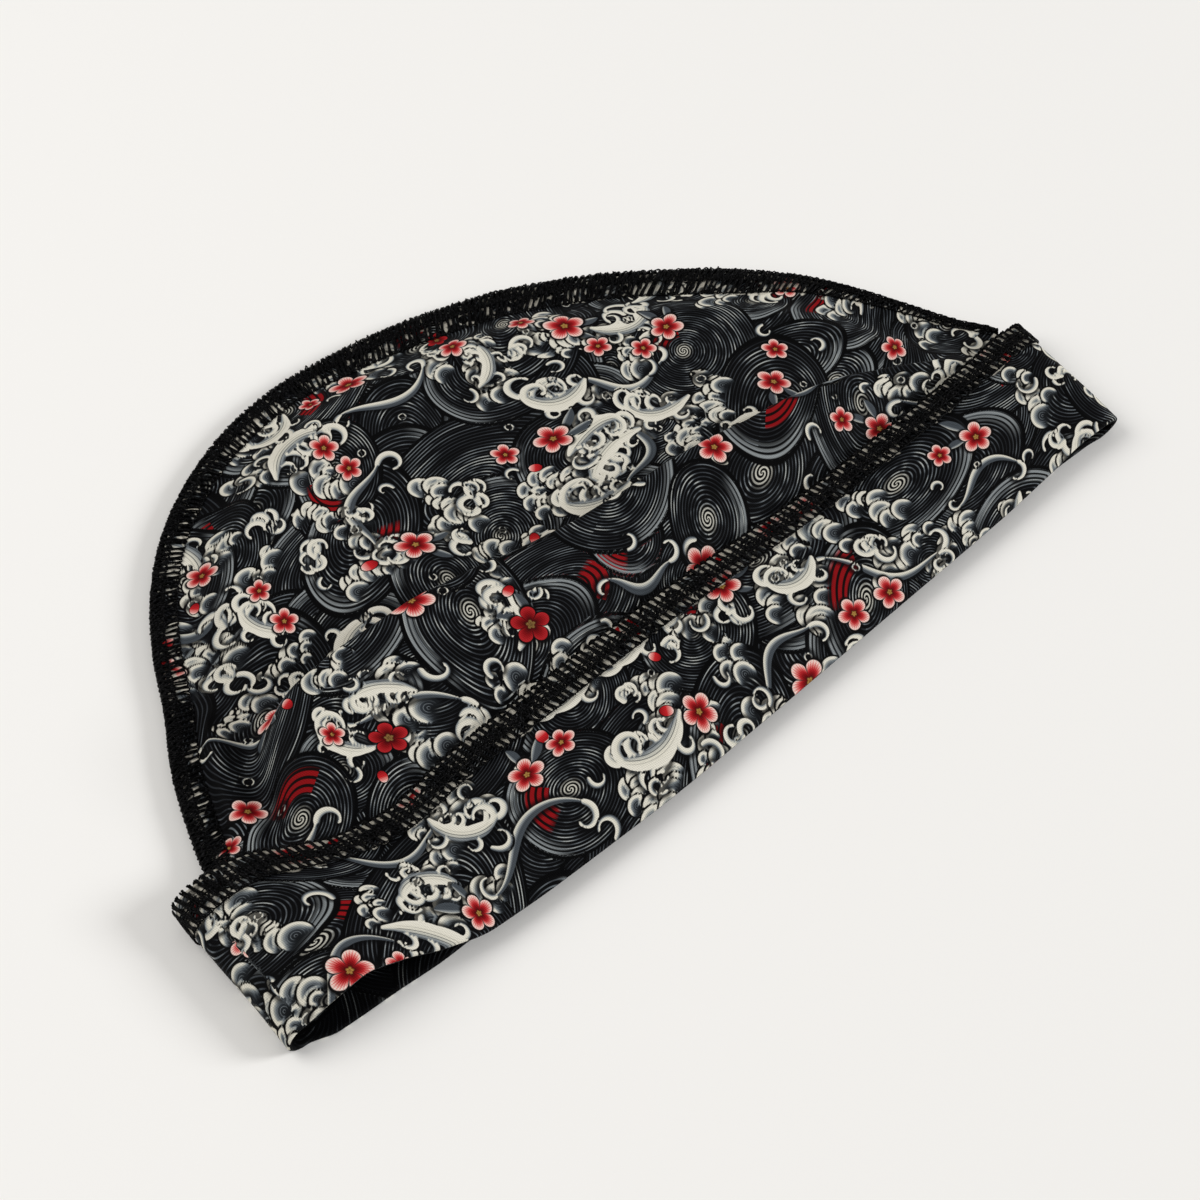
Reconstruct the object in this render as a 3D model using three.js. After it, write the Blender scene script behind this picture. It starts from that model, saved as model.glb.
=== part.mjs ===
// A stretch-cloth wave cap, laid flat on a table with its outside seams showing.
// Two half-dome crown panels are joined round their curved edge by an overlock seam that stands out as a flat fin.
// A doubled band closes the lower edge. The crown's edges are tucked into the band, under an overlock of its own.
// X runs along the band, Y from the head opening to the top of the crown, and Z up from the table.
// All lengths are in millimetres. The origin is on the table, under the middle of the cap's box.

import * as THREE from 'three';
import { mergeVertices } from 'three/addons/utils/BufferGeometryUtils.js';

// Outline, flat on the table
const BAND_WIDTH = 267;
const BAND_HEIGHT = 41;
const BAND_LEAN = 4;
const LEAN_CENTRE = 0.65;
const CROWN_HEIGHT = 114.5;
const CROWN_INSET_LEFT = 8.5;
const CROWN_INSET_RIGHT = 3.8;

// Cloth and thread
const CROWN_CLOTH = 1.0;
const BAND_CLOTH = 1.3;
const THREAD = 0.6;
const BAND_THREAD = 0.7;
const GAP = 0.3;

// How high the cloth stands above the table
const BAND_LOFT = 11;
const ROLL_HEIGHT = 17;
const CROWN_LOFT = 7.6;
const VALLEY_DEPTH = 3;

// Folds, tucks and seams
const FOLD_REACH = 5;
const TUCK = 6.5;
const FIN_WIDTH = 6.5;
const FIN_RIM = 1.1;
const RAMP_START = 8.5;
const RAMP = 12;
const ROLL_BACK = 3.6;
const ROLL_FULLNESS = 2.2;
const LAP_SLACK = 0.15;
const OVERLOCK_WIDTH = 8.5;
const HOOK_START = 0.5;
const HOOK_END = 1.4;
const HOOK_CLEAR = 1;
const LIFT_RUN = 12;
const SQUARE_END = 0.05;

// Mesh steps
const CROWN_COLUMNS = 50;
const END_CROWDING = 0.6;
const STEP_LEAST = 0.25;
const UPPER_ROWS = [2, 5, 3, 5, 5];
const LOWER_ROWS = [2, 4, 2, 4];
const BAND_ROWS = 7;
const TOP_STEPS = 30;
const BOTTOM_STEPS = 14;
const FOLD_STEPS = 6;

const HALF_WIDTH = BAND_WIDTH / 2;
const OVERLOCK_RISE = GAP + BAND_THREAD;
const FIN_FLOOR = THREAD + GAP;
const LOWER_FIN_TOP = FIN_FLOOR + CROWN_CLOTH;
const UPPER_FIN_TOP = LOWER_FIN_TOP + GAP + CROWN_CLOTH;
const FIN_CEILING = UPPER_FIN_TOP + GAP;
const CLOTH_INSET = FIN_RIM + GAP;
const EDGE_CLEAR = HOOK_END + HOOK_CLEAR;

// The band's upper wall. Places are shares of half the band's width and of its height, and levels of its loft.
const UPPER_BAND = [
  { across: -1.0, lip: -0.01, lipLevel: 0.74, midLevel: 0.82, seam: 1.04, seamLevel: 0.8 },
  { across: -0.94, lip: -0.02, lipLevel: 0.98, midLevel: 0.95, seam: 1.044, seamLevel: 0.87 },
  { across: -0.873, lip: -0.015, lipLevel: 1.06, midLevel: 1.0, seam: 1.0, seamLevel: 0.95 },
  { across: -0.8, lip: -0.058, lipLevel: 0.92, midLevel: 0.98, seam: 0.86, seamLevel: 1.0 },
  { across: -0.724, lip: -0.127, lipLevel: 0.75, midLevel: 0.94, seam: 0.74, seamLevel: 1.0 },
  { across: -0.634, lip: -0.176, lipLevel: 0.66, midLevel: 0.91, seam: 0.69, seamLevel: 1.0 },
  { across: -0.485, lip: -0.173, lipLevel: 0.64, midLevel: 0.9, seam: 0.756, seamLevel: 1.0 },
  { across: -0.28, lip: -0.166, lipLevel: 0.64, midLevel: 0.9, seam: 0.788, seamLevel: 1.0 },
  { across: 0.0, lip: -0.134, lipLevel: 0.64, midLevel: 0.9, seam: 0.817, seamLevel: 1.0 },
  { across: 0.36, lip: -0.066, lipLevel: 0.64, midLevel: 0.9, seam: 0.8, seamLevel: 1.0 },
  { across: 0.63, lip: -0.005, lipLevel: 0.64, midLevel: 0.9, seam: 0.837, seamLevel: 1.0 },
  { across: 0.784, lip: 0.039, lipLevel: 0.65, midLevel: 0.88, seam: 0.868, seamLevel: 0.98 },
  { across: 0.88, lip: 0.063, lipLevel: 0.68, midLevel: 0.86, seam: 0.9, seamLevel: 0.95 },
  { across: 0.948, lip: 0.054, lipLevel: 0.68, midLevel: 0.82, seam: 0.95, seamLevel: 0.9 },
  { across: 1.0, lip: 0.039, lipLevel: 0.66, midLevel: 0.78, seam: 0.976, seamLevel: 0.82 },
];

// The lower edge of the band's lower wall, which shows under the arch at the left end.
const LOWER_BAND = [
  { across: -1.0, lip: -0.02 },
  { across: -0.94, lip: -0.073 },
  { across: -0.82, lip: -0.09 },
  { across: -0.724, lip: -0.107 },
  { across: -0.45, lip: -0.07 },
  { across: 0.0, lip: -0.035 },
  { across: 0.37, lip: 0.0 },
  { across: 0.73, lip: 0.015 },
  { across: 1.0, lip: 0.03 },
];

// Outer edge of the crown's fin, from the left end of the band over the top to the right end.
const RIM = [
  { across: -0.97, up: 0.12 },
  { across: -0.91, up: 0.23 },
  { across: -0.81, up: 0.41 },
  { across: -0.69, up: 0.6 },
  { across: -0.555, up: 0.78 },
  { across: -0.365, up: 0.94 },
  { across: -0.16, up: 1.0 },
  { across: 0.05, up: 0.985 },
  { across: 0.25, up: 0.935 },
  { across: 0.43, up: 0.85 },
  { across: 0.605, up: 0.72 },
  { across: 0.765, up: 0.53 },
  { across: 0.87, up: 0.36 },
  { across: 0.93, up: 0.21 },
];

// The soft roll above the band: where its far foot runs, as a share of the crown's height, and how high it stands.
const ROLL = [
  { across: -0.813, foot: -0.01, level: 0.45 },
  { across: -0.776, foot: 0.052, level: 0.55 },
  { across: -0.731, foot: 0.165, level: 0.72 },
  { across: -0.687, foot: 0.226, level: 0.85 },
  { across: -0.627, foot: 0.252, level: 0.95 },
  { across: -0.493, foot: 0.263, level: 1.0 },
  { across: -0.358, foot: 0.261, level: 1.0 },
  { across: -0.224, foot: 0.242, level: 0.99 },
  { across: 0.0, foot: 0.2, level: 0.96 },
  { across: 0.224, foot: 0.19, level: 0.94 },
  { across: 0.448, foot: 0.165, level: 0.91 },
  { across: 0.627, foot: 0.118, level: 0.85 },
  { across: 0.746, foot: 0.065, level: 0.76 },
  { across: 0.836, foot: 0.009, level: 0.66 },
  { across: 0.88, foot: -0.026, level: 0.58 },
];

// The valley at the roll's left end, where the crown sinks.
const VALLEY = { across: -0.715, up: 0.17, halfWide: 0.06, halfLong: 0.13 };

const { clamp, lerp, smoothstep } = THREE.MathUtils;

// Reads one column of a table at a place across the cap, along smooth curves that don't overshoot the rows.
function read(rows, column, across) {
  const last = rows.length - 1;
  const at = clamp(across, rows[0].across, rows[last].across);
  let i = 0;
  while (i < last - 1 && rows[i + 1].across < at) i += 1;
  const slope = (k) => {
    if (k < 0 || k >= last) return 0;
    return (rows[k + 1][column] - rows[k][column]) / (rows[k + 1].across - rows[k].across);
  };
  const tangent = (k) => {
    const before = slope(k - 1);
    const after = slope(k);
    return before * after <= 0 ? 0 : (2 * before * after) / (before + after);
  };
  const run = rows[i + 1].across - rows[i].across;
  const t = (at - rows[i].across) / run;
  const t2 = t * t;
  const t3 = t2 * t;
  return (
    (2 * t3 - 3 * t2 + 1) * rows[i][column] +
    (t3 - 2 * t2 + t) * run * tangent(i) +
    (3 * t2 - 2 * t3) * rows[i + 1][column] +
    (t3 - t2) * run * tangent(i + 1)
  );
}

// Heights and edges of the band

// How far the band is pushed sideways at a share of its height: it lies as a slightly slanted strip.
const leanAt = (up) => BAND_LEAN * (up - LEAN_CENTRE);

const share = (x) => x / HALF_WIDTH;
const upperLip = (x) => read(UPPER_BAND, 'lip', share(x)) * BAND_HEIGHT;
const lowerLip = (x) => read(LOWER_BAND, 'lip', share(x)) * BAND_HEIGHT;
const upperSeam = (x) => read(UPPER_BAND, 'seam', share(x)) * BAND_HEIGHT;

// Top of the band's upper wall, at a share of the way from its lip to its seam.
function bandTop(x, up) {
  const lip = read(UPPER_BAND, 'lipLevel', share(x));
  const middle = read(UPPER_BAND, 'midLevel', share(x));
  const seam = read(UPPER_BAND, 'seamLevel', share(x));
  const droop = lerp(lip, middle, smoothstep(up, -0.15, 0.4));
  return BAND_LOFT * lerp(droop, seam, smoothstep(up, 0.3, 1));
}

// Underside of the band's lower wall, which lies on the table but climbs onto its overlock.
const bandFloor = (up) => OVERLOCK_RISE * smoothstep(up, 0.45, 0.8);

// A point on the outside of the band. The loop runs left to right over the top and back underneath.
const LOOP = TOP_STEPS + FOLD_STEPS + BOTTOM_STEPS + FOLD_STEPS;

function bandPoint(step, up) {
  const left = leanAt(up) - HALF_WIDTH;
  const right = leanAt(up) + HALF_WIDTH;
  const leftFlat = left + FOLD_REACH;
  const rightFlat = right - FOLD_REACH;
  const onTop = (x) => {
    const y = lerp(upperLip(x), upperSeam(x), up);
    return new THREE.Vector3(x, y, bandTop(x, up));
  };
  const underneath = (x) => {
    const y = lerp(lowerLip(x), BAND_HEIGHT, up);
    return new THREE.Vector3(x, y, bandFloor(up));
  };
  const fold = (x, side, turn) => {
    const high = onTop(x);
    const low = underneath(x);
    const half = (high.z - low.z) / 2;
    const lean = (1 - Math.cos(turn)) / 2;
    return new THREE.Vector3(
      x + side * FOLD_REACH * Math.sin(turn),
      lerp(high.y, low.y, lean),
      low.z + half + half * Math.cos(turn),
    );
  };
  let at = ((step % LOOP) + LOOP) % LOOP;
  if (at <= TOP_STEPS) return onTop(lerp(leftFlat, rightFlat, at / TOP_STEPS));
  at -= TOP_STEPS;
  if (at < FOLD_STEPS) return fold(rightFlat, 1, (Math.PI * at) / FOLD_STEPS);
  at -= FOLD_STEPS;
  if (at <= BOTTOM_STEPS) return underneath(lerp(rightFlat, leftFlat, at / BOTTOM_STEPS));
  at -= BOTTOM_STEPS;
  return fold(leftFlat, -1, Math.PI - (Math.PI * at) / FOLD_STEPS);
}

// A point off the outside of the band, by some length.
function bandOffset(step, up, out) {
  const h = 0.01;
  const point = bandPoint(step, up);
  const round = bandPoint(step + h, up).sub(bandPoint(step - h, up));
  const along = bandPoint(step, up + h).sub(bandPoint(step, up - h));
  return point.addScaledVector(round.cross(along).normalize(), out);
}

// The crown's outline and heights

const rimLeft = leanAt(1) - HALF_WIDTH + CROWN_INSET_LEFT;
const rimRight = leanAt(1) + HALF_WIDTH - CROWN_INSET_RIGHT;
const finLeft = Math.max(upperSeam(rimLeft), BAND_HEIGHT) + HOOK_END + GAP;
const finRight = Math.max(upperSeam(rimRight), BAND_HEIGHT) + HOOK_END + GAP;
const rimCurve = new THREE.CatmullRomCurve3(
  [
    new THREE.Vector3(rimLeft, finLeft, 0),
    ...RIM.map((row) => {
      const middle = (rimLeft + rimRight) / 2;
      const half = (rimRight - rimLeft) / 2;
      return new THREE.Vector3(middle + row.across * half, BAND_HEIGHT + row.up * CROWN_HEIGHT, 0);
    }),
    new THREE.Vector3(rimRight, finRight, 0),
  ],
  false,
  'centripetal',
);
rimCurve.arcLengthDivisions = 400;

// The rim as short straight pieces, carried straight down into the band at both ends.
const rimLine = [
  new THREE.Vector3(rimLeft, 0, 0),
  ...rimCurve.getSpacedPoints(160),
  new THREE.Vector3(rimRight, 0, 0),
];

function rimDistance(x, y) {
  const point = new THREE.Vector3(x, y, 0);
  const nearest = new THREE.Vector3();
  const piece = new THREE.Line3();
  let least = Infinity;
  for (let i = 0; i + 1 < rimLine.length; i += 1) {
    piece.set(rimLine[i], rimLine[i + 1]).closestPointToPoint(point, true, nearest);
    least = Math.min(least, nearest.distanceTo(point));
  }
  return least;
}

// Columns crowd at the two ends of the rim, where it climbs over the band's overlock.
const crowd = (u) => lerp(u, (1 - Math.cos(Math.PI * u)) / 2, END_CROWDING);

// A point of the rim moved in by some length: straight across at the two ends, and square to the rim elsewhere.
function rimPoint(u, inset) {
  const at = crowd(u);
  const point = rimCurve.getPointAt(at);
  const along = rimCurve.getTangentAt(at);
  const square = 1 - smoothstep(Math.min(at, 1 - at), 0, SQUARE_END);
  along.lerp(new THREE.Vector3(0, at < 0.5 ? 1 : -1, 0), square).normalize();
  return point.add(new THREE.Vector3(along.y, -along.x, 0).multiplyScalar(inset));
}

// The crown rises off the table near the band, because the band's lower wall and overlock lie under it.
const lift = (y, edge) => 1 - smoothstep(y, edge + EDGE_CLEAR, edge + EDGE_CLEAR + LIFT_RUN);
const finLift = (y) => (OVERLOCK_RISE + BAND_CLOTH + GAP - FIN_FLOOR) * lift(y, BAND_HEIGHT);
const spread = (x, y) => smoothstep(rimDistance(x, y), RAMP_START, RAMP_START + RAMP);

const footLine = (x) => BAND_HEIGHT + read(ROLL, 'foot', share(x)) * CROWN_HEIGHT;

// Level of the crown's free top surface, with no regard to its rim.
function crownFree(x, y) {
  const sides = [ROLL[0].across, ROLL[ROLL.length - 1].across];
  const seam = upperSeam(x);
  const start = seam + EDGE_CLEAR;
  const up = clamp((y - upperLip(x)) / (seam - upperLip(x)), 0, 1);
  const tucked = bandTop(x, up) - BAND_CLOTH - GAP - LAP_SLACK;
  const right = (x - VALLEY.across * HALF_WIDTH) / (VALLEY.halfWide * HALF_WIDTH);
  const far = (y - BAND_HEIGHT - VALLEY.up * CROWN_HEIGHT) / (VALLEY.halfLong * CROWN_HEIGHT);
  const open = CROWN_LOFT - VALLEY_DEPTH * Math.exp(-(right * right + far * far) / 2);
  const plain = lerp(tucked, open, smoothstep(y, start, start + LIFT_RUN));
  if (share(x) <= sides[0] || share(x) >= sides[1]) return plain;
  const h = 0.5;
  const slope = (footLine(x + h) - footLine(x - h)) / (2 * h);
  const steep = Math.hypot(1, slope);
  const inside = (footLine(x) - y) / steep;
  const reach = (footLine(x) - start) / steep;
  if (inside <= 0 || reach <= 0) return plain;
  const back = Math.min(ROLL_BACK, reach / 2);
  const crest = lerp(tucked, read(ROLL, 'level', share(x)) * ROLL_HEIGHT, smoothstep(reach, 0, 2 * ROLL_BACK));
  const down = clamp((inside - back) / (reach - back), 0, 1);
  const roll = lerp(crest, tucked, down ** ROLL_FULLNESS);
  return lerp(plain, roll, smoothstep(inside, 0, back));
}

function upperTop(x, y) {
  const fin = UPPER_FIN_TOP + finLift(y);
  return lerp(fin, crownFree(x, y), spread(x, y));
}

function lowerTop(x, y) {
  const fin = LOWER_FIN_TOP + finLift(y);
  const raised = OVERLOCK_RISE + BAND_CLOTH + GAP;
  const flat = CROWN_CLOTH + raised * lift(y, BAND_HEIGHT);
  return lerp(fin, flat, spread(x, y));
}

// Moves every vertex of a closed three.js geometry by a rule, and joins the ones that then meet.
function mould(geometry, place) {
  const position = geometry.getAttribute('position');
  const uv = geometry.getAttribute('uv');
  const from = new THREE.Vector3();
  for (let i = 0; i < position.count; i += 1) {
    from.fromBufferAttribute(position, i);
    const to = place(from, uv.getX(i), uv.getY(i));
    position.setXYZ(i, to.x, to.y, to.z);
  }
  geometry.deleteAttribute('normal');
  geometry.deleteAttribute('uv');
  const merged = mergeVertices(geometry, 1e-4);
  merged.computeVertexNormals();
  return merged;
}

// A cloth panel: a box of many small blocks, moulded so that its top follows a height rule.
function panel(rows, plan, height) {
  const at = (u, v) => {
    const point = plan(u, v);
    return new THREE.Vector3(point.x, point.y, height(point.x, point.y));
  };
  const block = new THREE.BoxGeometry(1, 1, 1, CROWN_COLUMNS, rows.reduce((sum, n) => sum + n, 0), 1);
  return mould(block, (from) => {
    const u = from.x + 0.5;
    const v = from.y + 0.5;
    const top = at(u, v);
    if (from.z > 0) return top;
    const h = 0.3;
    const east = height(top.x + h, top.y) - height(top.x - h, top.y);
    const north = height(top.x, top.y + h) - height(top.x, top.y - h);
    const normal = new THREE.Vector3(-east / (2 * h), -north / (2 * h), 1).normalize();
    const flat = 1 - spread(top.x, top.y);
    normal.lerp(new THREE.Vector3(0, 0, 1), Math.max(flat, lift(top.y, upperSeam(top.x)))).normalize();
    return top.addScaledVector(normal, -CROWN_CLOTH);
  });
}

// A panel's columns run from its tucked edge to the rim. Its rows crowd where the cloth bends sharply: the stops are
// the heights up the cap between which each count of rows is spread.
function crownPlan(tuckedEdge, rows, stopsAt) {
  const total = rows.reduce((sum, n) => sum + n, 0);
  return (u, v) => {
    const rim = rimPoint(u, CLOTH_INSET);
    const x = lerp(rimLeft + CLOTH_INSET, rimRight - CLOTH_INSET, (1 - Math.cos(Math.PI * u)) / 2);
    const foot = new THREE.Vector3(x, tuckedEdge(x), 0);
    const stops = stopsAt(x, rim.y).map((y) => (y - foot.y) / (rim.y - foot.y));
    const done = Math.round(v * total);
    let passed = 0;
    let low = 0;
    for (let k = 0; k < rows.length; k += 1) {
      const least = low + (STEP_LEAST * rows[k]) / total;
      const most = 1 - (STEP_LEAST * (total - passed - rows[k])) / total;
      const high = k < stops.length ? clamp(stops[k], least, most) : 1;
      if (done <= passed + rows[k]) return foot.lerp(rim, lerp(low, high, (done - passed) / rows[k]));
      passed += rows[k];
      low = high;
    }
    return rim;
  };
}

const crownUpper = panel(
  UPPER_ROWS,
  crownPlan((x) => upperSeam(x) - TUCK, UPPER_ROWS, (x, rimY) => [
    upperSeam(x) + EDGE_CLEAR,
    footLine(x) - ROLL_BACK,
    footLine(x) + 1,
    rimY - RAMP_START - RAMP,
  ]),
  upperTop,
);

const crownLower = panel(
  LOWER_ROWS,
  crownPlan(() => BAND_HEIGHT - TUCK, LOWER_ROWS, (x, rimY) => [
    BAND_HEIGHT + EDGE_CLEAR,
    BAND_HEIGHT + EDGE_CLEAR + LIFT_RUN,
    rimY - RAMP_START - RAMP,
  ]),
  lowerTop,
);

// A closed ring round the band: each corner of its section is a place up the band and a height off its surface.
function ring(section) {
  const torus = new THREE.TorusGeometry(1, 0.5, section.length, LOOP);
  return mould(torus, (from, u, v) => {
    const corner = section[Math.round(v * section.length) % section.length];
    return bandOffset(Math.round(u * LOOP), corner.up, corner.out);
  });
}

const bandSection = [];
for (let row = 0; row <= BAND_ROWS; row += 1) bandSection.push({ up: row / BAND_ROWS, out: 0 });
for (let row = BAND_ROWS; row >= 0; row -= 1) bandSection.push({ up: row / BAND_ROWS, out: -BAND_CLOTH });
const band = ring(bandSection);

const upBand = (length) => length / BAND_HEIGHT;
const bandOverlock = ring(
  [
    { up: 1 - upBand(OVERLOCK_WIDTH), out: GAP },
    { up: 1 - upBand(OVERLOCK_WIDTH), out: OVERLOCK_RISE },
    { up: 1 - upBand(OVERLOCK_WIDTH) / 2, out: OVERLOCK_RISE },
    { up: 1 + upBand(HOOK_START), out: OVERLOCK_RISE },
    { up: 1 + upBand(HOOK_END), out: OVERLOCK_RISE - BAND_THREAD / 2 },
    { up: 1 + upBand(HOOK_END), out: -BAND_CLOTH },
    { up: 1 + upBand(HOOK_START), out: -BAND_CLOTH },
    { up: 1 + upBand(HOOK_START), out: GAP },
    { up: 1 - upBand(OVERLOCK_WIDTH) / 2, out: GAP },
  ],
);

// The crown's overlock wraps the two panels' edges like a clip.
const clipHeight = FIN_CEILING + THREAD;
const clip = new THREE.Shape([
  new THREE.Vector2(0, THREAD),
  new THREE.Vector2(THREAD, 0),
  new THREE.Vector2(FIN_WIDTH, 0),
  new THREE.Vector2(FIN_WIDTH, THREAD),
  new THREE.Vector2(FIN_RIM, THREAD),
  new THREE.Vector2(FIN_RIM, FIN_CEILING),
  new THREE.Vector2(FIN_WIDTH, FIN_CEILING),
  new THREE.Vector2(FIN_WIDTH, clipHeight),
  new THREE.Vector2(THREAD, clipHeight),
  new THREE.Vector2(0, FIN_CEILING),
]);
const clipRun = new THREE.ExtrudeGeometry(clip, { depth: 1, steps: CROWN_COLUMNS, bevelEnabled: false });
const crownOverlock = mould(clipRun, (from) => {
  const point = rimPoint(1 - from.z, from.x);
  point.z = from.y + finLift(point.y);
  return point;
});

// Materials, in the photograph's colours

const cloth = (color) => new THREE.MeshStandardMaterial({ color, roughness: 0.72, metalness: 0 });
const thread = new THREE.MeshStandardMaterial({ color: 0x0b0b0d, roughness: 0.6, metalness: 0 });

const cap = new THREE.Group();
const pieces = [
  ['crown_upper_panel', crownUpper, cloth(0x2b2c2f)],
  ['crown_lower_panel', crownLower, cloth(0x242528)],
  ['band', band, cloth(0x303134)],
  ['crown_overlock', crownOverlock, thread],
  ['band_overlock', bandOverlock, thread],
];
for (const [name, geometry, material] of pieces) {
  const mesh = new THREE.Mesh(geometry, material);
  mesh.name = name;
  cap.add(mesh);
}

// The origin goes to the middle of the box, on the table.
const box = new THREE.Box3().setFromObject(cap);
const middle = box.getCenter(new THREE.Vector3());
cap.position.set(-middle.x, -middle.y, -box.min.z);

export default cap;
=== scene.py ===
import math
from functools import partial

import bmesh
import bpy
import numpy as np
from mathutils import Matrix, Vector


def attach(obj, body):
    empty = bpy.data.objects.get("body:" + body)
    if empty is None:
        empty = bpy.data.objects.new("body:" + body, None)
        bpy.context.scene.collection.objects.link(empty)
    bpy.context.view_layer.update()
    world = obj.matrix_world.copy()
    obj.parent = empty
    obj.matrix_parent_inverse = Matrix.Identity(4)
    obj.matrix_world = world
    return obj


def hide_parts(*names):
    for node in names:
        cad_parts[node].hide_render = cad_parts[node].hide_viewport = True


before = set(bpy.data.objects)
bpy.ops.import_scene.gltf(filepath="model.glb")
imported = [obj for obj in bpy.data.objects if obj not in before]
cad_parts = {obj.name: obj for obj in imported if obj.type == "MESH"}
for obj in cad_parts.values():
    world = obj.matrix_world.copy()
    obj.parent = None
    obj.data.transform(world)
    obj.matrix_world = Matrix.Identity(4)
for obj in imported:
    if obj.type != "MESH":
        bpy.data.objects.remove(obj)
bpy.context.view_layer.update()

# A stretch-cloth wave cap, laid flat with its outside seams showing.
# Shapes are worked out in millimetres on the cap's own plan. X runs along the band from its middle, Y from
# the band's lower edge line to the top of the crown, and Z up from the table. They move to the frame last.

MM = 0.001
PLAN_ZERO = np.array([0.078, -74.222, 0.001])

# The cap's sizes, in millimetres
BAND_WIDTH = 267.0
HALF_WIDTH = BAND_WIDTH / 2
BAND_HEIGHT = 41.0
BAND_LEAN = 4.0
BAND_FULL_LEFT = 1.6
BAND_CLOTH = 1.3
BAND_LOFT = 10.3
BAND_STITCH = 1.9
BAND_SEWN = 8.4
FOLD_REACH = 5.0
CROWN_HEIGHT = 114.5
CROWN_INSET_LEFT = 8.5
CROWN_INSET_RIGHT = 3.8
CROWN_CLOTH = 1.0
CROWN_LOFT = 7.6
GAP = 0.3
ROLL_HEIGHT = 17.0
ROLL_BACK = 3.6
VALLEY_DEPTH = 4.6
TUCK = 6.5
FIN_WIDTH = 6.5
FIN_STITCH = 1.6
RAMP_START = 8.5
RAMP = 12.0
LAP_SLACK = 0.15
HOOK_END = 1.4
EDGE_CLEAR = 2.4
LIFT_RUN = 12.0
CLOTH_INSET = 1.4
OVERLOCK_RISE = 1.0
FIN_LIFT = OVERLOCK_RISE + BAND_CLOTH + GAP - 0.9
LOWER_FIN_TOP = 1.9
UPPER_FIN_TOP = 3.2

# Where along its height the band leans from, how steeply the roll falls, and how pale the cloth in the fin is
LEAN_CENTRE = 0.65
ROLL_FULLNESS = 2.2
FIN_PALE = 0.72

# Gentle waves in the crown's cloth: how long, how many and how high
CLOTH_WAVES = ((46, 5, 0.55), (19, 6, 0.2))

# Points on the rim, up a panel's side and up each of its columns before these are evened out
RIM_POINTS = 1601
SIDE_POINTS = 160
COLUMN_POINTS = 700

# Where the rim turns from the panel's left side to its top and on to its right side
CORNERS = (0.2, 0.79)

# The band's upper wall: places are shares of half the band's width and of its height, and levels of its loft.
UPPER_BAND = {
    "across": [-1, -.94, -.873, -.8, -.724, -.634, -.485, -.28, 0, .36, .63, .784, .88, .948, 1],
    "lip": [
        -.016, -.028, -.026, -.07, -.142, -.196, -.208, -.204, -.162, -.094, -.042, .002, .028, .024, .016,
    ],
    "lip_level": [.75, 1.02, 1.12, .92, .63, .43, .41, .41, .41, .41, .43, .5, .63, .68, .7],
    "mid_level": [.85, 1, 1.06, 1.04, .96, .91, .9, .9, .9, .9, .9, .88, .86, .84, .8],
    "seam": [1.04, 1.044, 1, .86, .74, .69, .756, .788, .817, .8, .837, .868, .9, .93, .93],
    "seam_level": [.8, .87, .95, 1, 1, 1, 1, 1, 1, 1, 1, .98, .95, .9, .82],
}
LOWER_BAND = {
    "across": [-1, -.94, -.82, -.724, -.45, 0, .37, .73, .9, 1],
    "lip": [-.02, -.073, -.09, -.107, -.07, -.02, .03, .07, .07, .04],
}
# The outer edge of the crown's fin, from the band's left end over the top to its right end.
RIM = {
    "across": [
        -.97, -.905, -.83, -.762, -.679, -.575, -.456, -.329, -.2, -.076, .037, .141, .236, .327, .409,
        .493, .561, .63, .7, .765, .83, .875, .93,
    ],
    "up": [
        .12, .285, .423, .562, .693, .807, .893, .952, .981, .981, .967, .945, .915, .88, .834, .782,
        .729, .669, .604, .53, .44, .35, .21,
    ],
}
# How wide the fin shows, as a share of its width at the left, and how its stitches slant.
FIN = {
    "across": [-1, -.6, -.2, .2, .7, .82, .95],
    "wide": [1, 1, 1.2, 1.5, 1.5, 1, .5],
    "slant": [-.15, -.15, .15, .38, .4, .3, .2],
}
# The soft roll above the band: where its far foot runs, as a share of the crown's height, and how high it is.
ROLL = {
    "across": [-.813, -.776, -.731, -.687, -.627, -.493, -.358, -.224, 0, .224, .448, .627, .746, .836, .88],
    "foot": [-.01, .052, .165, .226, .252, .263, .261, .242, .2, .19, .165, .118, .065, .009, -.026],
    "level": [.45, .55, .72, .85, .95, 1, 1, .99, .96, .94, .91, .85, .76, .66, .58],
}
VALLEY = {"across": -0.715, "up": 0.17, "half_wide": 0.06, "half_long": 0.13}
# A crease runs from the valley to the band's left corner, and leaves a raised strip of cloth beside the fin.
CREASE = [(-93.0, 68.0), (-98.5, 57.0), (-104.2, 46.5), (-107.5, 43.0)]
CREASE_DEPTH = 3.4
CREASE_HALF = 2.6
STRIP = [(-98.0, 80.0), (-103.5, 70.0), (-108.0, 58.0), (-111.5, 49.0)]
STRIP_RISE = 2.4
STRIP_HALF = 3.6


# Small tools

def smooth(value, low, high):
    t = np.clip((value - low) / (high - low), 0, 1)
    return t * t * (3 - 2 * t)


def mix(a, b, share):
    return a + (b - a) * share


def unit(vectors):
    return vectors / np.maximum(np.linalg.norm(vectors, axis=-1), 1e-12)[..., None]


def cubic(t, start, start_slope, end, end_slope):
    """A curve from one value to another, with a slope at each end."""
    return (
        (2 * t**3 - 3 * t**2 + 1) * start + (t**3 - 2 * t**2 + t) * start_slope
        + (3 * t**2 - 2 * t**3) * end + (t**3 - t**2) * end_slope
    )


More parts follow.
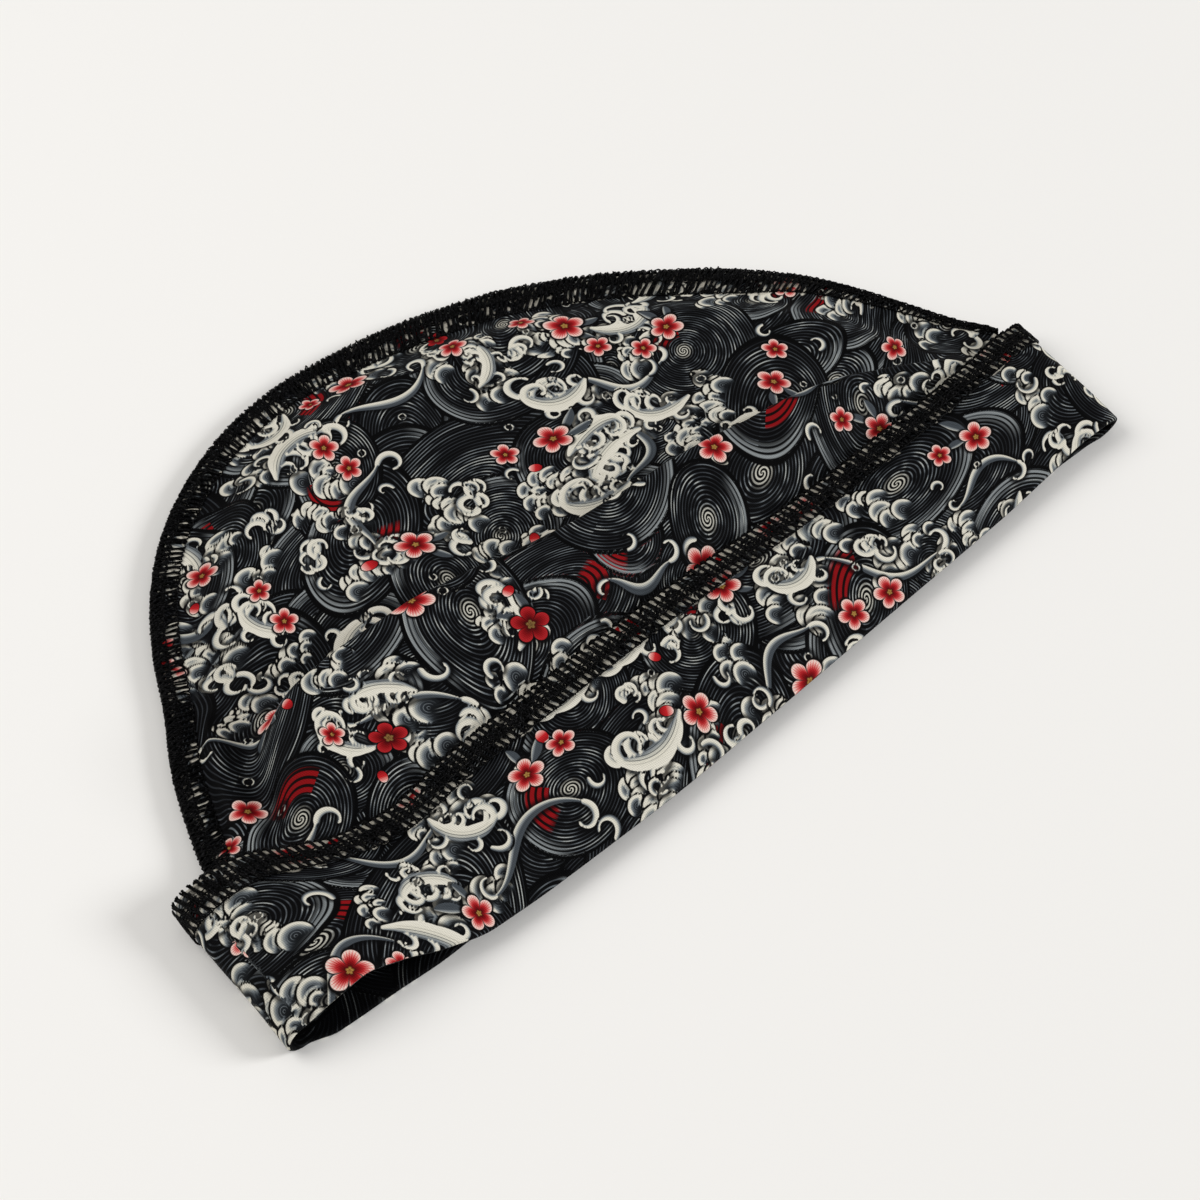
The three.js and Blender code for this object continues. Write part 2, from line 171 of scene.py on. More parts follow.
def follow(table, column, across):
    """Reads one column of a table at places across the cap, along smooth curves that don't overshoot."""
    x = np.array(table["across"], float)
    y = np.array(table[column], float)
    at = np.clip(across, x[0], x[-1])
    run = np.diff(x)
    slope = np.diff(y) / run
    before = np.concatenate(([0], slope))
    after = np.concatenate((slope, [0]))
    same = before * after > 0
    tangent = np.where(same, 2 * before * after / np.where(same, before + after, 1), 0)
    i = np.clip(np.searchsorted(x, at, side="right") - 1, 0, len(run) - 1)
    return cubic((at - x[i]) / run[i], y[i], run[i] * tangent[i], y[i + 1], run[i] * tangent[i + 1])


def lengths_of(line):
    """How far along a line each of its points lies."""
    return np.concatenate([[0], np.cumsum(np.linalg.norm(np.diff(line, axis=0), axis=1))])


def along_line(line, count):
    """A line of points, set again at even steps of its own length."""
    length = lengths_of(line)
    at = np.linspace(0, length[-1], count)
    return np.column_stack([np.interp(at, length, column) for column in line.T])


def rounded_line(points, steps):
    """A smooth curve through points, which makes no loop where two of them lie close."""
    knots = np.vstack([2 * points[0] - points[1], points, 2 * points[-1] - points[-2]])
    t = np.linspace(0, 1, steps, endpoint=False)[:, None]
    found = []
    for p0, p1, p2, p3 in zip(knots, knots[1:], knots[2:], knots[3:]):
        d1, d2, d3 = (max(np.linalg.norm(b - a) ** 0.5, 1e-4) for a, b in ((p0, p1), (p1, p2), (p2, p3)))
        start = ((p1 - p0) / d1 - (p2 - p0) / (d1 + d2) + (p2 - p1) / d2) * d2
        end = ((p2 - p1) / d2 - (p3 - p1) / (d2 + d3) + (p3 - p2) / d3) * d2
        found.append(cubic(t, p1, start, p2, end))
    return np.vstack(found + [points[-1:]])


def ripple(rng, x, y, wave, count):
    """Gentle uneven waves over a plan, between about -1 and 1."""
    total = np.zeros(np.shape(x))
    for _ in range(count):
        turn = rng.uniform(0, math.tau)
        pace = math.tau / (wave * rng.uniform(0.7, 1.6))
        total += np.sin((x * math.cos(turn) + y * math.sin(turn)) * pace + rng.uniform(0, math.tau))
    return total / count**0.5


# The camera, at the photograph's viewing angle

AZIMUTH = math.radians(-42.275)
ELEVATION = math.radians(50.607)
LOOKS_AT = Vector((-2.9, 47.9, 0.0))
CAMERA_AWAY = 0.7236
SENSOR = 36
LENS = 90
toward_camera = Vector((
    math.sin(AZIMUTH) * math.cos(ELEVATION),
    -math.cos(AZIMUTH) * math.cos(ELEVATION),
    math.sin(ELEVATION),
))
camera = bpy.data.objects.new("camera", bpy.data.cameras.new("camera"))
camera.data.sensor_width = SENSOR
camera.data.lens = LENS
camera.location = (LOOKS_AT + Vector(PLAN_ZERO)) * MM + toward_camera * CAMERA_AWAY
camera.rotation_euler = toward_camera.to_track_quat("Z", "Y").to_euler()
bpy.context.scene.collection.objects.link(camera)
bpy.context.scene.camera = camera


# The band's and the crown's shapes

def lean_at(up):
    return BAND_LEAN * (up - LEAN_CENTRE)


def upper_lip(x):
    return follow(UPPER_BAND, "lip", x / HALF_WIDTH) * BAND_HEIGHT


def upper_seam(x):
    return follow(UPPER_BAND, "seam", x / HALF_WIDTH) * BAND_HEIGHT


def lower_lip(x):
    return follow(LOWER_BAND, "lip", x / HALF_WIDTH) * BAND_HEIGHT


def band_top(x, up):
    across = x / HALF_WIDTH
    lip = follow(UPPER_BAND, "lip_level", across)
    middle = follow(UPPER_BAND, "mid_level", across)
    seam = follow(UPPER_BAND, "seam_level", across)
    droop = mix(lip, middle, smooth(up, -0.15, 0.4))
    return BAND_LOFT * mix(droop, seam, smooth(up, 0.3, 1))


def rim_line():
    """The fin's outer edge, at even steps."""
    left = lean_at(1) - HALF_WIDTH + CROWN_INSET_LEFT
    right = lean_at(1) + HALF_WIDTH - CROWN_INSET_RIGHT
    middle, half = (left + right) / 2, (right - left) / 2
    first, last = ((x, max(upper_seam(x), BAND_HEIGHT) + HOOK_END + GAP) for x in (left, right))
    shown = [(middle + a * half, BAND_HEIGHT + u * CROWN_HEIGHT) for a, u in zip(RIM["across"], RIM["up"])]
    return along_line(rounded_line(np.array([first, *shown, last]), 40), RIM_POINTS)


rim = rim_line()


def rim_inside(inset):
    """The rim's line moved in towards the crown by some length."""
    share = np.linspace(0, 1, len(rim))
    square = (1 - smooth(np.minimum(share, 1 - share), 0, 0.05))[:, None]
    upright = np.column_stack([np.zeros(len(rim)), np.where(share < 0.5, 1.0, -1.0)])
    run = unit(mix(unit(np.gradient(rim, axis=0)), upright, square))
    return rim + np.column_stack([run[:, 1], -run[:, 0]]) * inset


# Heights are worked out once, on a fine square relief of the plan, and each mesh reads its own from that.
PITCH = 0.5
east = np.arange(-142, 142.01, PITCH)
north = np.arange(-12, 162.01, PITCH)
plan_x, plan_y = np.meshgrid(east, north)


def from_relief(relief, x, y):
    """Reads a relief at plan places, between its points."""
    column = np.clip((x - east[0]) / PITCH, 0, len(east) - 1.001)
    row = np.clip((y - north[0]) / PITCH, 0, len(north) - 1.001)
    left, low = column.astype(int), row.astype(int)
    near = mix(relief[low, left], relief[low, left + 1], column - left)
    far = mix(relief[low + 1, left], relief[low + 1, left + 1], column - left)
    return mix(near, far, row - low)


def rim_distance():
    """How far each place of the relief lies from the rim. It is worked out in parts, to save memory."""
    line = np.vstack([[(rim[0, 0], 0)], rim[::4], [(rim[-1, 0], 0)]])
    start, run = line[:-1], np.diff(line, axis=0)
    spots = np.column_stack([plan_x.ravel(), plan_y.ravel()])
    least = np.empty(len(spots))
    for first in range(0, len(spots), 4000):
        away = spots[first:first + 4000, None, :] - start
        t = np.clip((away * run).sum(2) / (run**2).sum(1), 0, 1)
        least[first:first + 4000] = np.linalg.norm(away - t[..., None] * run, axis=2).min(1)
    return least.reshape(plan_x.shape)


def bell_along(spots, half):
    """How near each place of the relief lies to a line through spots, from 1 on the line to 0 far away."""
    line = rounded_line(np.array(spots), 12)
    away = np.min([np.hypot(plan_x - x, plan_y - y) for x, y in line], axis=0)
    return np.exp(-(away / half) ** 2 / 2)


def band_lift_at(y):
    """How much the band lifts the cloth and the fin, from 1 beside the band to 0 above it."""
    return 1 - smooth(y, BAND_HEIGHT + EDGE_CLEAR, BAND_HEIGHT + EDGE_CLEAR + LIFT_RUN)


def softened(relief, spread_mm):
    """A relief with its steep places eased, by a bell-shaped average along both ways."""
    steps = np.arange(-int(3 * spread_mm / PITCH), int(3 * spread_mm / PITCH) + 1)
    bell = np.exp(-(steps * PITCH / spread_mm) ** 2 / 2)
    bell /= bell.sum()
    padded = np.pad(relief, len(steps) // 2, mode="edge")
    padded = np.apply_along_axis(np.convolve, 0, padded, bell, mode="valid")
    return np.apply_along_axis(np.convolve, 1, padded, bell, mode="valid")


def crown_free():
    """The crown's free top surface on the relief, with no regard to its rim."""
    x, y = plan_x, plan_y
    across = x / HALF_WIDTH
    seam = upper_seam(x)
    start = seam + EDGE_CLEAR
    up = np.clip((y - upper_lip(x)) / (seam - upper_lip(x)), 0, 1)
    tucked = band_top(x, up) - BAND_CLOTH - GAP - LAP_SLACK
    right = (across - VALLEY["across"]) / VALLEY["half_wide"]
    far = (y - BAND_HEIGHT - VALLEY["up"] * CROWN_HEIGHT) / (VALLEY["half_long"] * CROWN_HEIGHT)
    open_top = CROWN_LOFT - VALLEY_DEPTH * np.exp(-(right**2 + far**2) / 2)
    plain = mix(tucked, open_top, smooth(y, start, start + LIFT_RUN))
    foot = BAND_HEIGHT + follow(ROLL, "foot", across) * CROWN_HEIGHT
    steep = np.hypot(1, np.gradient(foot, PITCH, axis=1))
    inside = (foot - y) / steep
    reach = (foot - start) / steep
    back_run = np.maximum(np.minimum(ROLL_BACK, reach / 2), 0.01)
    level = follow(ROLL, "level", across) * ROLL_HEIGHT
    crest = mix(tucked, level, smooth(reach, 0, 2 * ROLL_BACK))
    down = np.clip((inside - back_run) / np.maximum(reach - back_run, 0.01), 0, 1)
    roll = mix(crest, tucked, down**ROLL_FULLNESS)
    rolled = (across > ROLL["across"][0]) & (across < ROLL["across"][-1]) & (inside > 0) & (reach > 0)
    return np.where(rolled, mix(plain, roll, smooth(inside, 0, back_run)), plain)


# The reliefs of the two panels. The lowest the upper one lies leaves room for the panel under it.
from_rim = rim_distance()
spread = smooth(from_rim, RAMP_START, RAMP_START + RAMP)
band_lift = band_lift_at(plan_y)
fold_rng = np.random.default_rng(11)
soft_waves = sum(ripple(fold_rng, plan_x, plan_y, wave, count) * high for wave, count, high in CLOTH_WAVES)
off_band = smooth(plan_y, upper_seam(plan_x) + 1, upper_seam(plan_x) + 14)
crease = CREASE_DEPTH * bell_along(CREASE, CREASE_HALF)
free = np.maximum(crown_free() + soft_waves * off_band - crease, 2 * CROWN_CLOTH + 0.4)
upper_relief = mix(UPPER_FIN_TOP + FIN_LIFT * band_lift, free, spread)
flank = 1 - smooth(plan_x, -90, -78)
upper_relief = mix(upper_relief, softened(upper_relief, 2.2), flank * off_band)
beside_fin = smooth(from_rim, 6.0, 9.5) * off_band
upper_relief += STRIP_RISE * bell_along(STRIP, STRIP_HALF) * beside_fin
lower_relief = mix(
    LOWER_FIN_TOP + FIN_LIFT * band_lift,
    CROWN_CLOTH + (OVERLOCK_RISE + BAND_CLOTH + GAP) * band_lift,
    spread,
)


# Meshes from bmesh grids

FAR = 9.0
BARE = {
    "swirl": (FAR, FAR, FAR), "eddy": (FAR, FAR, 0.0), "lobe": (FAR, 0.0, 0.0), "foam": (FAR, 0.0, 0.0),
    "bloom": (FAR, FAR, FAR), "marks": (0.0, 0.0, 0.0),
}
FIELDS = ("cloth", *BARE)


def printed_mesh():
    """A bmesh with a layer for each of the print's fields."""
    bm = bmesh.new()
    return bm, {name: bm.verts.layers.float_vector.new(name) for name in FIELDS}


def laid_grid(bm, layers, points, fields, flip=False):
    """A bmesh grid whose points are moved to their places, with the print's fields kept at each."""
    rows, columns = points.shape[:2]
    made = bmesh.ops.create_grid(bm, x_segments=columns - 1, y_segments=rows - 1, size=1)["verts"]
    flat = (points.reshape(-1, 3) + PLAN_ZERO) * MM
    for vertex, place in zip(made, flat):
        vertex.co = place
    for name, layer in layers.items():
        for vertex, value in zip(made, fields[name]):
            vertex[layer] = value
    if flip:
        bmesh.ops.reverse_faces(bm, faces=list({face for vertex in made for face in vertex.link_faces}))


def new_piece(name, bm):
    """Ends a bmesh as a piece of the scene, smooth all over."""
    mesh = bpy.data.meshes.new(name)
    bm.to_mesh(mesh)
    bm.free()
    mesh.shade_smooth()
    piece = bpy.data.objects.new(name, mesh)
    bpy.context.scene.collection.objects.link(piece)
    return piece


def normals_of(points):
    return unit(np.cross(np.gradient(points, axis=1), np.gradient(points, axis=0)))


def crown_plan(tucked_edge, columns, rows, relief):
    """A panel's points: columns from the tucked edge to the rim, each at even steps of its own length."""
    edge = rim_inside(CLOTH_INSET)
    corner_left, corner_right = (int(len(edge) * share) for share in CORNERS)
    left = along_line(edge[:corner_left + 1], SIDE_POINTS)
    top = along_line(edge[corner_left:corner_right + 1], columns)
    right = along_line(edge[corner_right:][::-1], SIDE_POINTS)
    x = np.linspace(left[0, 0], right[0, 0], columns)
    foot = np.column_stack([x, tucked_edge(x)])
    left[0], right[0] = foot[0], foot[-1]
    s = np.linspace(0, 1, columns)[None, :, None]
    t = np.linspace(0, 1, SIDE_POINTS)[:, None, None]
    plan = (
        (1 - t) * foot[None] + t * top[None] + (1 - s) * left[:, None] + s * right[:, None]
        - (1 - s) * (1 - t) * foot[0] - s * (1 - t) * foot[-1] - (1 - s) * t * top[0] - s * t * top[-1]
    )
    made = np.empty((rows, columns, 3))
    for k in range(columns):
        column = along_line(plan[:, k], COLUMN_POINTS)
        column = np.column_stack([column, from_relief(relief, column[:, 0], column[:, 1])])
        made[:, k] = along_line(column, rows)
    return made


def cloth_lengths(relief):
    """How far up the cloth each place of a relief lies, measured over its rises, along Y."""
    rise = np.gradient(relief, PITCH, axis=0)
    return np.cumsum(np.hypot(1, rise), axis=0) * PITCH


# The print: motifs laid over each other on the flat cloth

# The dark line kept clear round a motif, in millimetres
HALO = 0.55

# The least gap between two motifs, in millimetres, and the square millimetres of cloth for each try at one
SPACING = {
    "swirls": (10, 30), "clouds": (13, 30), "streams": (38, 60), "breakers": (14.5, 30), "curls": (13, 60),
    "blossoms": (27, 60),
}


def turned(away, turn):
    """Offsets on the cloth, in the coordinates of a motif that is turned."""
    x, y = away.T
    cosine, sine = math.cos(turn), math.sin(turn)
    return np.column_stack([x * cosine + y * sine, y * cosine - x * sine])


class Print:
    """Fields at each point of the cloth, from which the ink is drawn. A motif covers what lies under it."""

    def __init__(self, places):
        self.order = np.argsort(places[:, 0], kind="stable")
        self.places = places[self.order]
        count = len(places)
        for name, values in BARE.items():
            setattr(self, name, np.tile(values, (count, 1)))
        self.draft = {part: np.tile([FAR, 0.0, 0.0, 0.0], (count, 1)) for part in ("body", "fingers")}
        self.drawn = [count, 0]

    def near(self, low, high):
        first, last = np.searchsorted(self.places[:, 0], [low[0], high[0]])
        v = self.places[first:last, 1]
        return first + np.flatnonzero((v > low[1]) & (v < high[1]))

    def disc(self, centre, radius, mark, turn, stretch):
        """A swirl: its own coordinates in millimetres, and how far in from its visible edge a point is."""
        reach = radius * stretch + 6
        hit = self.near(centre - reach, centre + reach)
        away = turned(self.places[hit] - centre, turn)
        away[:, 0] /= stretch
        inside = radius - np.hypot(away[:, 0], away[:, 1])
        mine = inside > 0
        self.swirl[hit[mine]] = np.column_stack([away, inside])[mine]
        self.eddy[hit[mine], 0] = inside[mine]
        self.marks[hit[mine], 0] = mark
        self.swirl[hit[~mine], 2] = np.minimum(self.swirl[hit[~mine], 2], -inside[~mine])

    def puff(self, centre, radius, turn):
        """A cloud lobe: the distance from its edge, and its own coordinates as shares of its radius."""
        hit = self.near(centre - radius - 1.5, centre + radius + 1.5)
        away = self.places[hit] - centre
        edge = np.hypot(away[:, 0], away[:, 1]) - radius
        cover(self.lobe, hit, edge, turned(away, turn) / radius, HALO)

    def stroke(self, line, half, tone, part="fingers"):
        """A tapered brush stroke: distance from its edge, the side of it, its width and its tone. A motif's
        body flows into its fingers, and its fingers cover each other."""
        reach = half.max() + 1.5
        hit = self.near(line.min(0) - reach, line.max(0) + reach)
        if not len(hit):
            return
        start, run = line[:-1], np.diff(line, axis=0)
        away = self.places[hit][:, None, :] - start
        t = np.clip((away * run).sum(2) / (run**2).sum(1), 0, 1)
        off = away - t[..., None] * run
        width = half[:-1] + t * np.diff(half)
        edges = np.hypot(off[..., 0], off[..., 1]) - width
        best = edges.argmin(1)
        row = np.arange(len(hit))
        edge = edges[row, best]
        across = run[best, 0] * off[row, best, 1] - run[best, 1] * off[row, best, 0]
        side = across / np.linalg.norm(run[best], axis=1)
        halo = HALO * 0.6 if part == "fingers" else 0.0
        values = np.column_stack([side, width[row, best], np.full(len(hit), tone)])
        cover(self.draft[part], hit, edge, values, halo)
        self.drawn = [min(self.drawn[0], hit.min()), max(self.drawn[1], hit.max() + 1)]

    def settle(self):
        """Lays the motif that was drafted over all that is there."""
        first, last = self.drawn
        if first < last:
            body, fingers = self.draft["body"][first:last], self.draft["fingers"][first:last]
            new = np.where((body[:, :1] < fingers[:, :1]), body, fingers)
            now = np.column_stack([self.foam[first:last], self.marks[first:last, 1]])
            cover(now, np.arange(last - first), new[:, 0], new[:, 1:], HALO)
            self.foam[first:last] = now[:, :3]
            self.marks[first:last, 1] = now[:, 3]
            body[:] = fingers[:] = [FAR, 0.0, 0.0, 0.0]
        self.drawn = [len(self.places), 0]

    def blossom(self, centre, radius, mark, turn, stretch=1.0):
        """A blossom: its own coordinates as shares of its radius, and how far out a point is."""
        hit = self.near(centre - radius * 2, centre + radius * 2)
        local = turned(self.places[hit] - centre, turn)
        local[:, 1] *= stretch
        local /= radius
        out = np.hypot(local[:, 0], local[:, 1])
        mine = out < self.bloom[hit, 2]
        self.bloom[hit[mine]] = np.column_stack([local, out])[mine]
        self.marks[hit[mine], 2] = mark

    def fields(self):
        """The fields, in the order that the places came in."""
        put_back = np.argsort(self.order)
        return {name: getattr(self, name)[put_back] for name in BARE}


def cover(field, hit, edge, values, halo):
    """Lays a shape over a field of distances, with a dark line of some width kept clear round it."""
    old = field[hit, 0]
    mine = (edge < halo / 2) | (edge < old)
    field[hit, 0] = np.minimum(np.maximum(old, halo - edge), edge) if halo else np.minimum(old, edge)
    field[hit[mine], 1:] = values[mine]


def darts(rng, low, high, gap, tries):
    """Seeded places that keep a gap from each other."""
    kept = np.empty((0, 2))
    for place in rng.uniform(low, high, (tries, 2)):
        if not len(kept) or np.hypot(*(kept - place).T).min() > gap:
            kept = np.vstack([kept, place])
    return kept


def toward(angle):
    """The way that an angle points, a millimetre long."""
    return np.stack([np.cos(angle), np.sin(angle)], axis=-1)


def curling(start, heading, length, turning, power, count):
    """A line that starts straight and curls up more and more, with its heading at each point."""
    angle = heading + turning * np.linspace(0, 1, count) ** power
    moves = toward(angle) * length / (count - 1)
    line = start + np.vstack([[0, 0], np.cumsum((moves[:-1] + moves[1:]) / 2, axis=0)])
    return line, angle


def lay_curl(ink, rng, start, heading, size, hand, tone):
    """One hooked finger of foam: broad at its root, thin at its neck, with a small bulb at its end."""
    turning = hand * rng.uniform(3.3, 4.6)
    line, _ = curling(start, heading, size * rng.uniform(4.2, 5.3), turning, rng.uniform(1.05, 1.4), 22)
    q = np.linspace(0, 1, len(line))
    body = np.sin(np.pi * np.clip(q * 0.8 + 0.25, 0, 1))
    bulb = np.exp(-((q - 0.97) / 0.06) ** 2)
    ink.stroke(line, np.maximum(size * (0.08 + 0.31 * body + 0.12 * bulb), 0.2), tone)


def lay_ring(ink, rng, centre, radius):
    line = centre + toward(np.linspace(0, math.tau, 13)) * radius
    ink.stroke(line, np.full(len(line), 0.2), rng.uniform(0.2, 0.6))


def lay_breaker(ink, rng, start, heading, size, hand):
    """A breaking crest: a broad scalloped back, with hooked fingers on both sides and over its end."""
    count = 44
    length, turning = size * rng.uniform(6.5, 9), hand * rng.uniform(1.3, 2.4)
    line, angle = curling(start, heading, length, turning, 1.2, count)
    q = np.linspace(0, 1, count)
    scallops = 1 + 0.28 * np.abs(np.sin(q * rng.uniform(8, 11) + rng.uniform(0, 3)))
    half = size * (0.16 + 0.62 * np.sin(np.pi * np.clip(q * 0.95 + 0.02, 0, 1)) * scallops)
    hollow = toward(angle + math.pi / 2) * hand
    fingers = rng.integers(3, 5)
    for at in np.linspace(0.2, 0.88, fingers) + rng.uniform(-0.08, 0.08, fingers):
        k = int(at * (count - 1))
        root = line[k] + hollow[k] * half[k] * 0.9
        broad = size * (0.5 + 0.42 * at) * rng.uniform(0.8, 1.2)
        lay_curl(ink, rng, root, angle[k] + hand * rng.uniform(0.2, 1.3), broad, hand, 0.0)
    if rng.random() < 0.5:
        lay_ring(ink, rng, line[-8] + hollow[-8] * size * rng.uniform(2.2, 3.2), rng.uniform(0.6, 0.9))
    for at, aim in ((0.3, 0.9), (0.62, 0.6)):
        k = int(at * count)
        root = line[k] - hollow[k] * half[k] * 0.6
        lay_curl(ink, rng, root, angle[k] - hand * aim, size * rng.uniform(0.5, 0.7), -hand, 0.1)
    for aim in (-0.6, 0.4):
        lay_curl(ink, rng, line[-4], angle[-4] + hand * aim, size * rng.uniform(0.8, 1.0), hand, 0.0)
    ink.stroke(line, half, 0.12, "body")
    ink.settle()


def lay_splash(ink, rng, start, heading, size):
    """A splash of foam: a knot from which a few broad hooked fingers spread."""
    hand = rng.choice([-1, 1])
    fingers = rng.integers(3, 6)
    for k in range(fingers):
        away = heading + (k - fingers / 2) * rng.uniform(0.75, 1.1)
        lay_curl(ink, rng, start, away, size * rng.uniform(0.9, 1.3), hand, 0.0)
        hand = hand * rng.choice([-1, 1])
    knot = np.array([start, start + toward(heading) * size * 0.9])
    ink.stroke(knot, size * np.array([0.5, 0.4]), 0.1, "body")
    ink.settle()


def lay_leaf(ink, start, heading, length):
    """A slate leaf, pointed at both ends."""
    line, _ = curling(start, heading, length, 0.5, 1.0, 14)
    ink.stroke(line, 0.12 + length * 0.15 * np.sin(np.pi * np.linspace(0, 1, 14)), 1.5)


def lay_stream(ink, rng, start, heading, length):
    """A long thin ribbon of foam that swings one way and then the other."""
    count = 34
    q = np.linspace(0, 1, count)
    swing = rng.uniform(0.4, 0.8) * rng.choice([-1, 1])
    bend = heading + swing * np.sin(q * math.pi * rng.uniform(1.4, 2.0))
    line = start + np.cumsum(toward(bend) * length / count, axis=0)
    half = 0.2 + rng.uniform(0.6, 1.3) * np.sin(np.pi * q) ** 1.3
    ink.stroke(line, half, rng.uniform(0.8, 1.3), "body")
    hand = -1 if swing > 0 else 1
    lay_curl(ink, rng, line[-2], bend[-1], rng.uniform(1.6, 2.4), hand, 0.1)
    lay_curl(ink, rng, line[1], bend[0] + math.pi, rng.uniform(1.3, 1.9), hand, 0.3)
    ink.settle()


def lay_clouds(ink, rng, start, heading, lobes, size):
    """A bank of scalloped cloud lobes. Each shows its upper rim, because a lower lobe covers a higher one."""
    place, turn = start, heading
    bank = []
    for _ in range(lobes):
        radius = size * rng.uniform(0.6, 1.3)
        turn += rng.uniform(-0.5, 0.5)
        aside = toward(turn + math.pi / 2) * rng.uniform(-1, 1) * size * 1.2
        bank.append((place + aside, radius, rng.uniform(-0.5, 0.5)))
        place = place + toward(turn) * radius * rng.uniform(0.5, 0.8)
    for centre, radius, tilt in sorted(bank, key=lambda lobe: lobe[0][0] * 0.5 - lobe[0][1] * 0.87):
        ink.puff(centre, radius, tilt)


def lay_print(places, seed, calm=None):
    """The whole print on one piece of cloth. Foam and clouds gather in places, with calm swirls between."""
    rng = np.random.default_rng(seed)
    any_way = partial(rng.uniform, 0, math.tau)
    low, high = places.min(0) - 8, places.max(0) + 8
    drift = [ripple(rng, places[:, 0], places[:, 1], 60, 4) * 1.6 for _ in "uv"]
    ink = Print(places + np.column_stack(drift))
    area = (high - low).prod()

    def spots(motif, least=None):
        """Places for a motif, with the gap between them that it needs."""
        gap, each = SPACING[motif]
        found = darts(rng, low, high, gap, int(area / each))
        if least is None:
            return found
        weather = ripple(np.random.default_rng(seed + 1), found[:, 0], found[:, 1], 62, 5)
        if calm:
            weather -= calm(found[:, 0], found[:, 1])
        return found[weather > least]

    for spot in rng.permutation(spots("swirls")):
        ink.disc(spot, rng.uniform(9, 20), rng.random(), rng.uniform(-0.2, 1.2), rng.uniform(1.0, 1.9))
    for spot in spots("clouds", -0.5):
        lay_clouds(ink, rng, spot, any_way(), rng.integers(6, 15), rng.uniform(2.4, 3.4))
    for spot in spots("streams"):
        lay_stream(ink, rng, spot, rng.uniform(-0.6, 0.9), rng.uniform(24, 44))
    for spot in spots("breakers", -0.4):
        if rng.random() < 0.5:
            lay_breaker(ink, rng, spot, any_way(), rng.uniform(1.9, 3.1), rng.choice([-1, 1]))
        else:
            lay_splash(ink, rng, spot, any_way(), rng.uniform(1.4, 2.1))
    for spot in spots("curls"):
        if rng.random() < 0.6:
            lay_curl(ink, rng, spot, any_way(), rng.uniform(1.3, 2.1), rng.choice([-1, 1]), 0.4)
        else:
            lay_ring(ink, rng, spot, rng.uniform(0.8, 1.3))
        ink.settle()
    for spot in spots("blossoms"):
        if rng.random() < 0.4:
            aim = any_way()
            for away in (aim, aim + rng.uniform(0.6, 1.0)):
                lay_leaf(ink, spot + toward(away) * 3, away, rng.uniform(5, 8))
            ink.settle()
        ink.blossom(spot, rng.uniform(3.7, 5.2), rng.random(), any_way())
        for _ in range(rng.choice([0, 1, 1, 2])):
            beside = spot + toward(any_way()) * rng.uniform(8.5, 12)
            if rng.random() < 0.5:
                ink.blossom(beside, rng.uniform(3.0, 4.0), rng.random(), any_way())
            else:
                ink.blossom(beside, rng.uniform(1.5, 2.1), 2.0, any_way(), 1.45)
    return ink.fields()


# The crown's panels

def roll_calm(x, y):
    """The print is calmer along the roll, which shows mostly swirls."""
    return 0.9 * (1 - smooth(y, 68, 84))


def crown_panel(name, tucked_edge, relief, columns, rows, seed, faces_up):
    """A closed panel of cloth. The side that isn't seen has a quarter of the rows and columns."""
    outer = crown_plan(tucked_edge, columns, rows, relief)
    inner = outer - normals_of(outer) * CROWN_CLOTH
    if not faces_up:
        outer, inner = inner, outer
    x, y = outer[..., 0], outer[..., 1]
    cloth = np.dstack([x, from_relief(cloth_lengths(relief), x, y)])
    fields = lay_print(cloth.reshape(-1, 2), seed, roll_calm if faces_up else None)
    inset = from_relief(from_rim, x, y) / follow(FIN, "wide", x / HALF_WIDTH)
    sewn = 1 - smooth(inset, FIN_WIDTH - 0.5, FIN_WIDTH + 0.3)
    fields["cloth"] = np.dstack([cloth, sewn * FIN_PALE]).reshape(-1, 3)
    bm, layers = printed_mesh()
    laid_grid(bm, layers, outer, fields, flip=not faces_up)
    some_rows, some_columns = (
        np.unique(np.linspace(0, count - 1, count // 4).astype(int)) for count in (rows, columns)
    )
    picked = (some_rows[:, None] * columns + some_columns).ravel()
    reverse = {key: value[picked] for key, value in fields.items()}
    # sewn at -1 marks the inner side, which the shader darkens to near-black as painted shade
    reverse["cloth"][:, 2] = -1
    laid_grid(bm, layers, inner[np.ix_(some_rows, some_columns)], reverse, flip=faces_up)
    bmesh.ops.bridge_loops(bm, edges=[edge for edge in bm.edges if edge.is_boundary])
    return new_piece(name, bm)


upper = crown_panel(
    "crown_upper_cloth", lambda x: upper_seam(x) - TUCK, upper_relief,
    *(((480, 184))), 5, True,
)
lower = crown_panel(
    "crown_lower_cloth", lambda x: np.full(len(x), BAND_HEIGHT - TUCK), lower_relief,
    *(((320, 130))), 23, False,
)


# The band: one flattened tube of doubled cloth

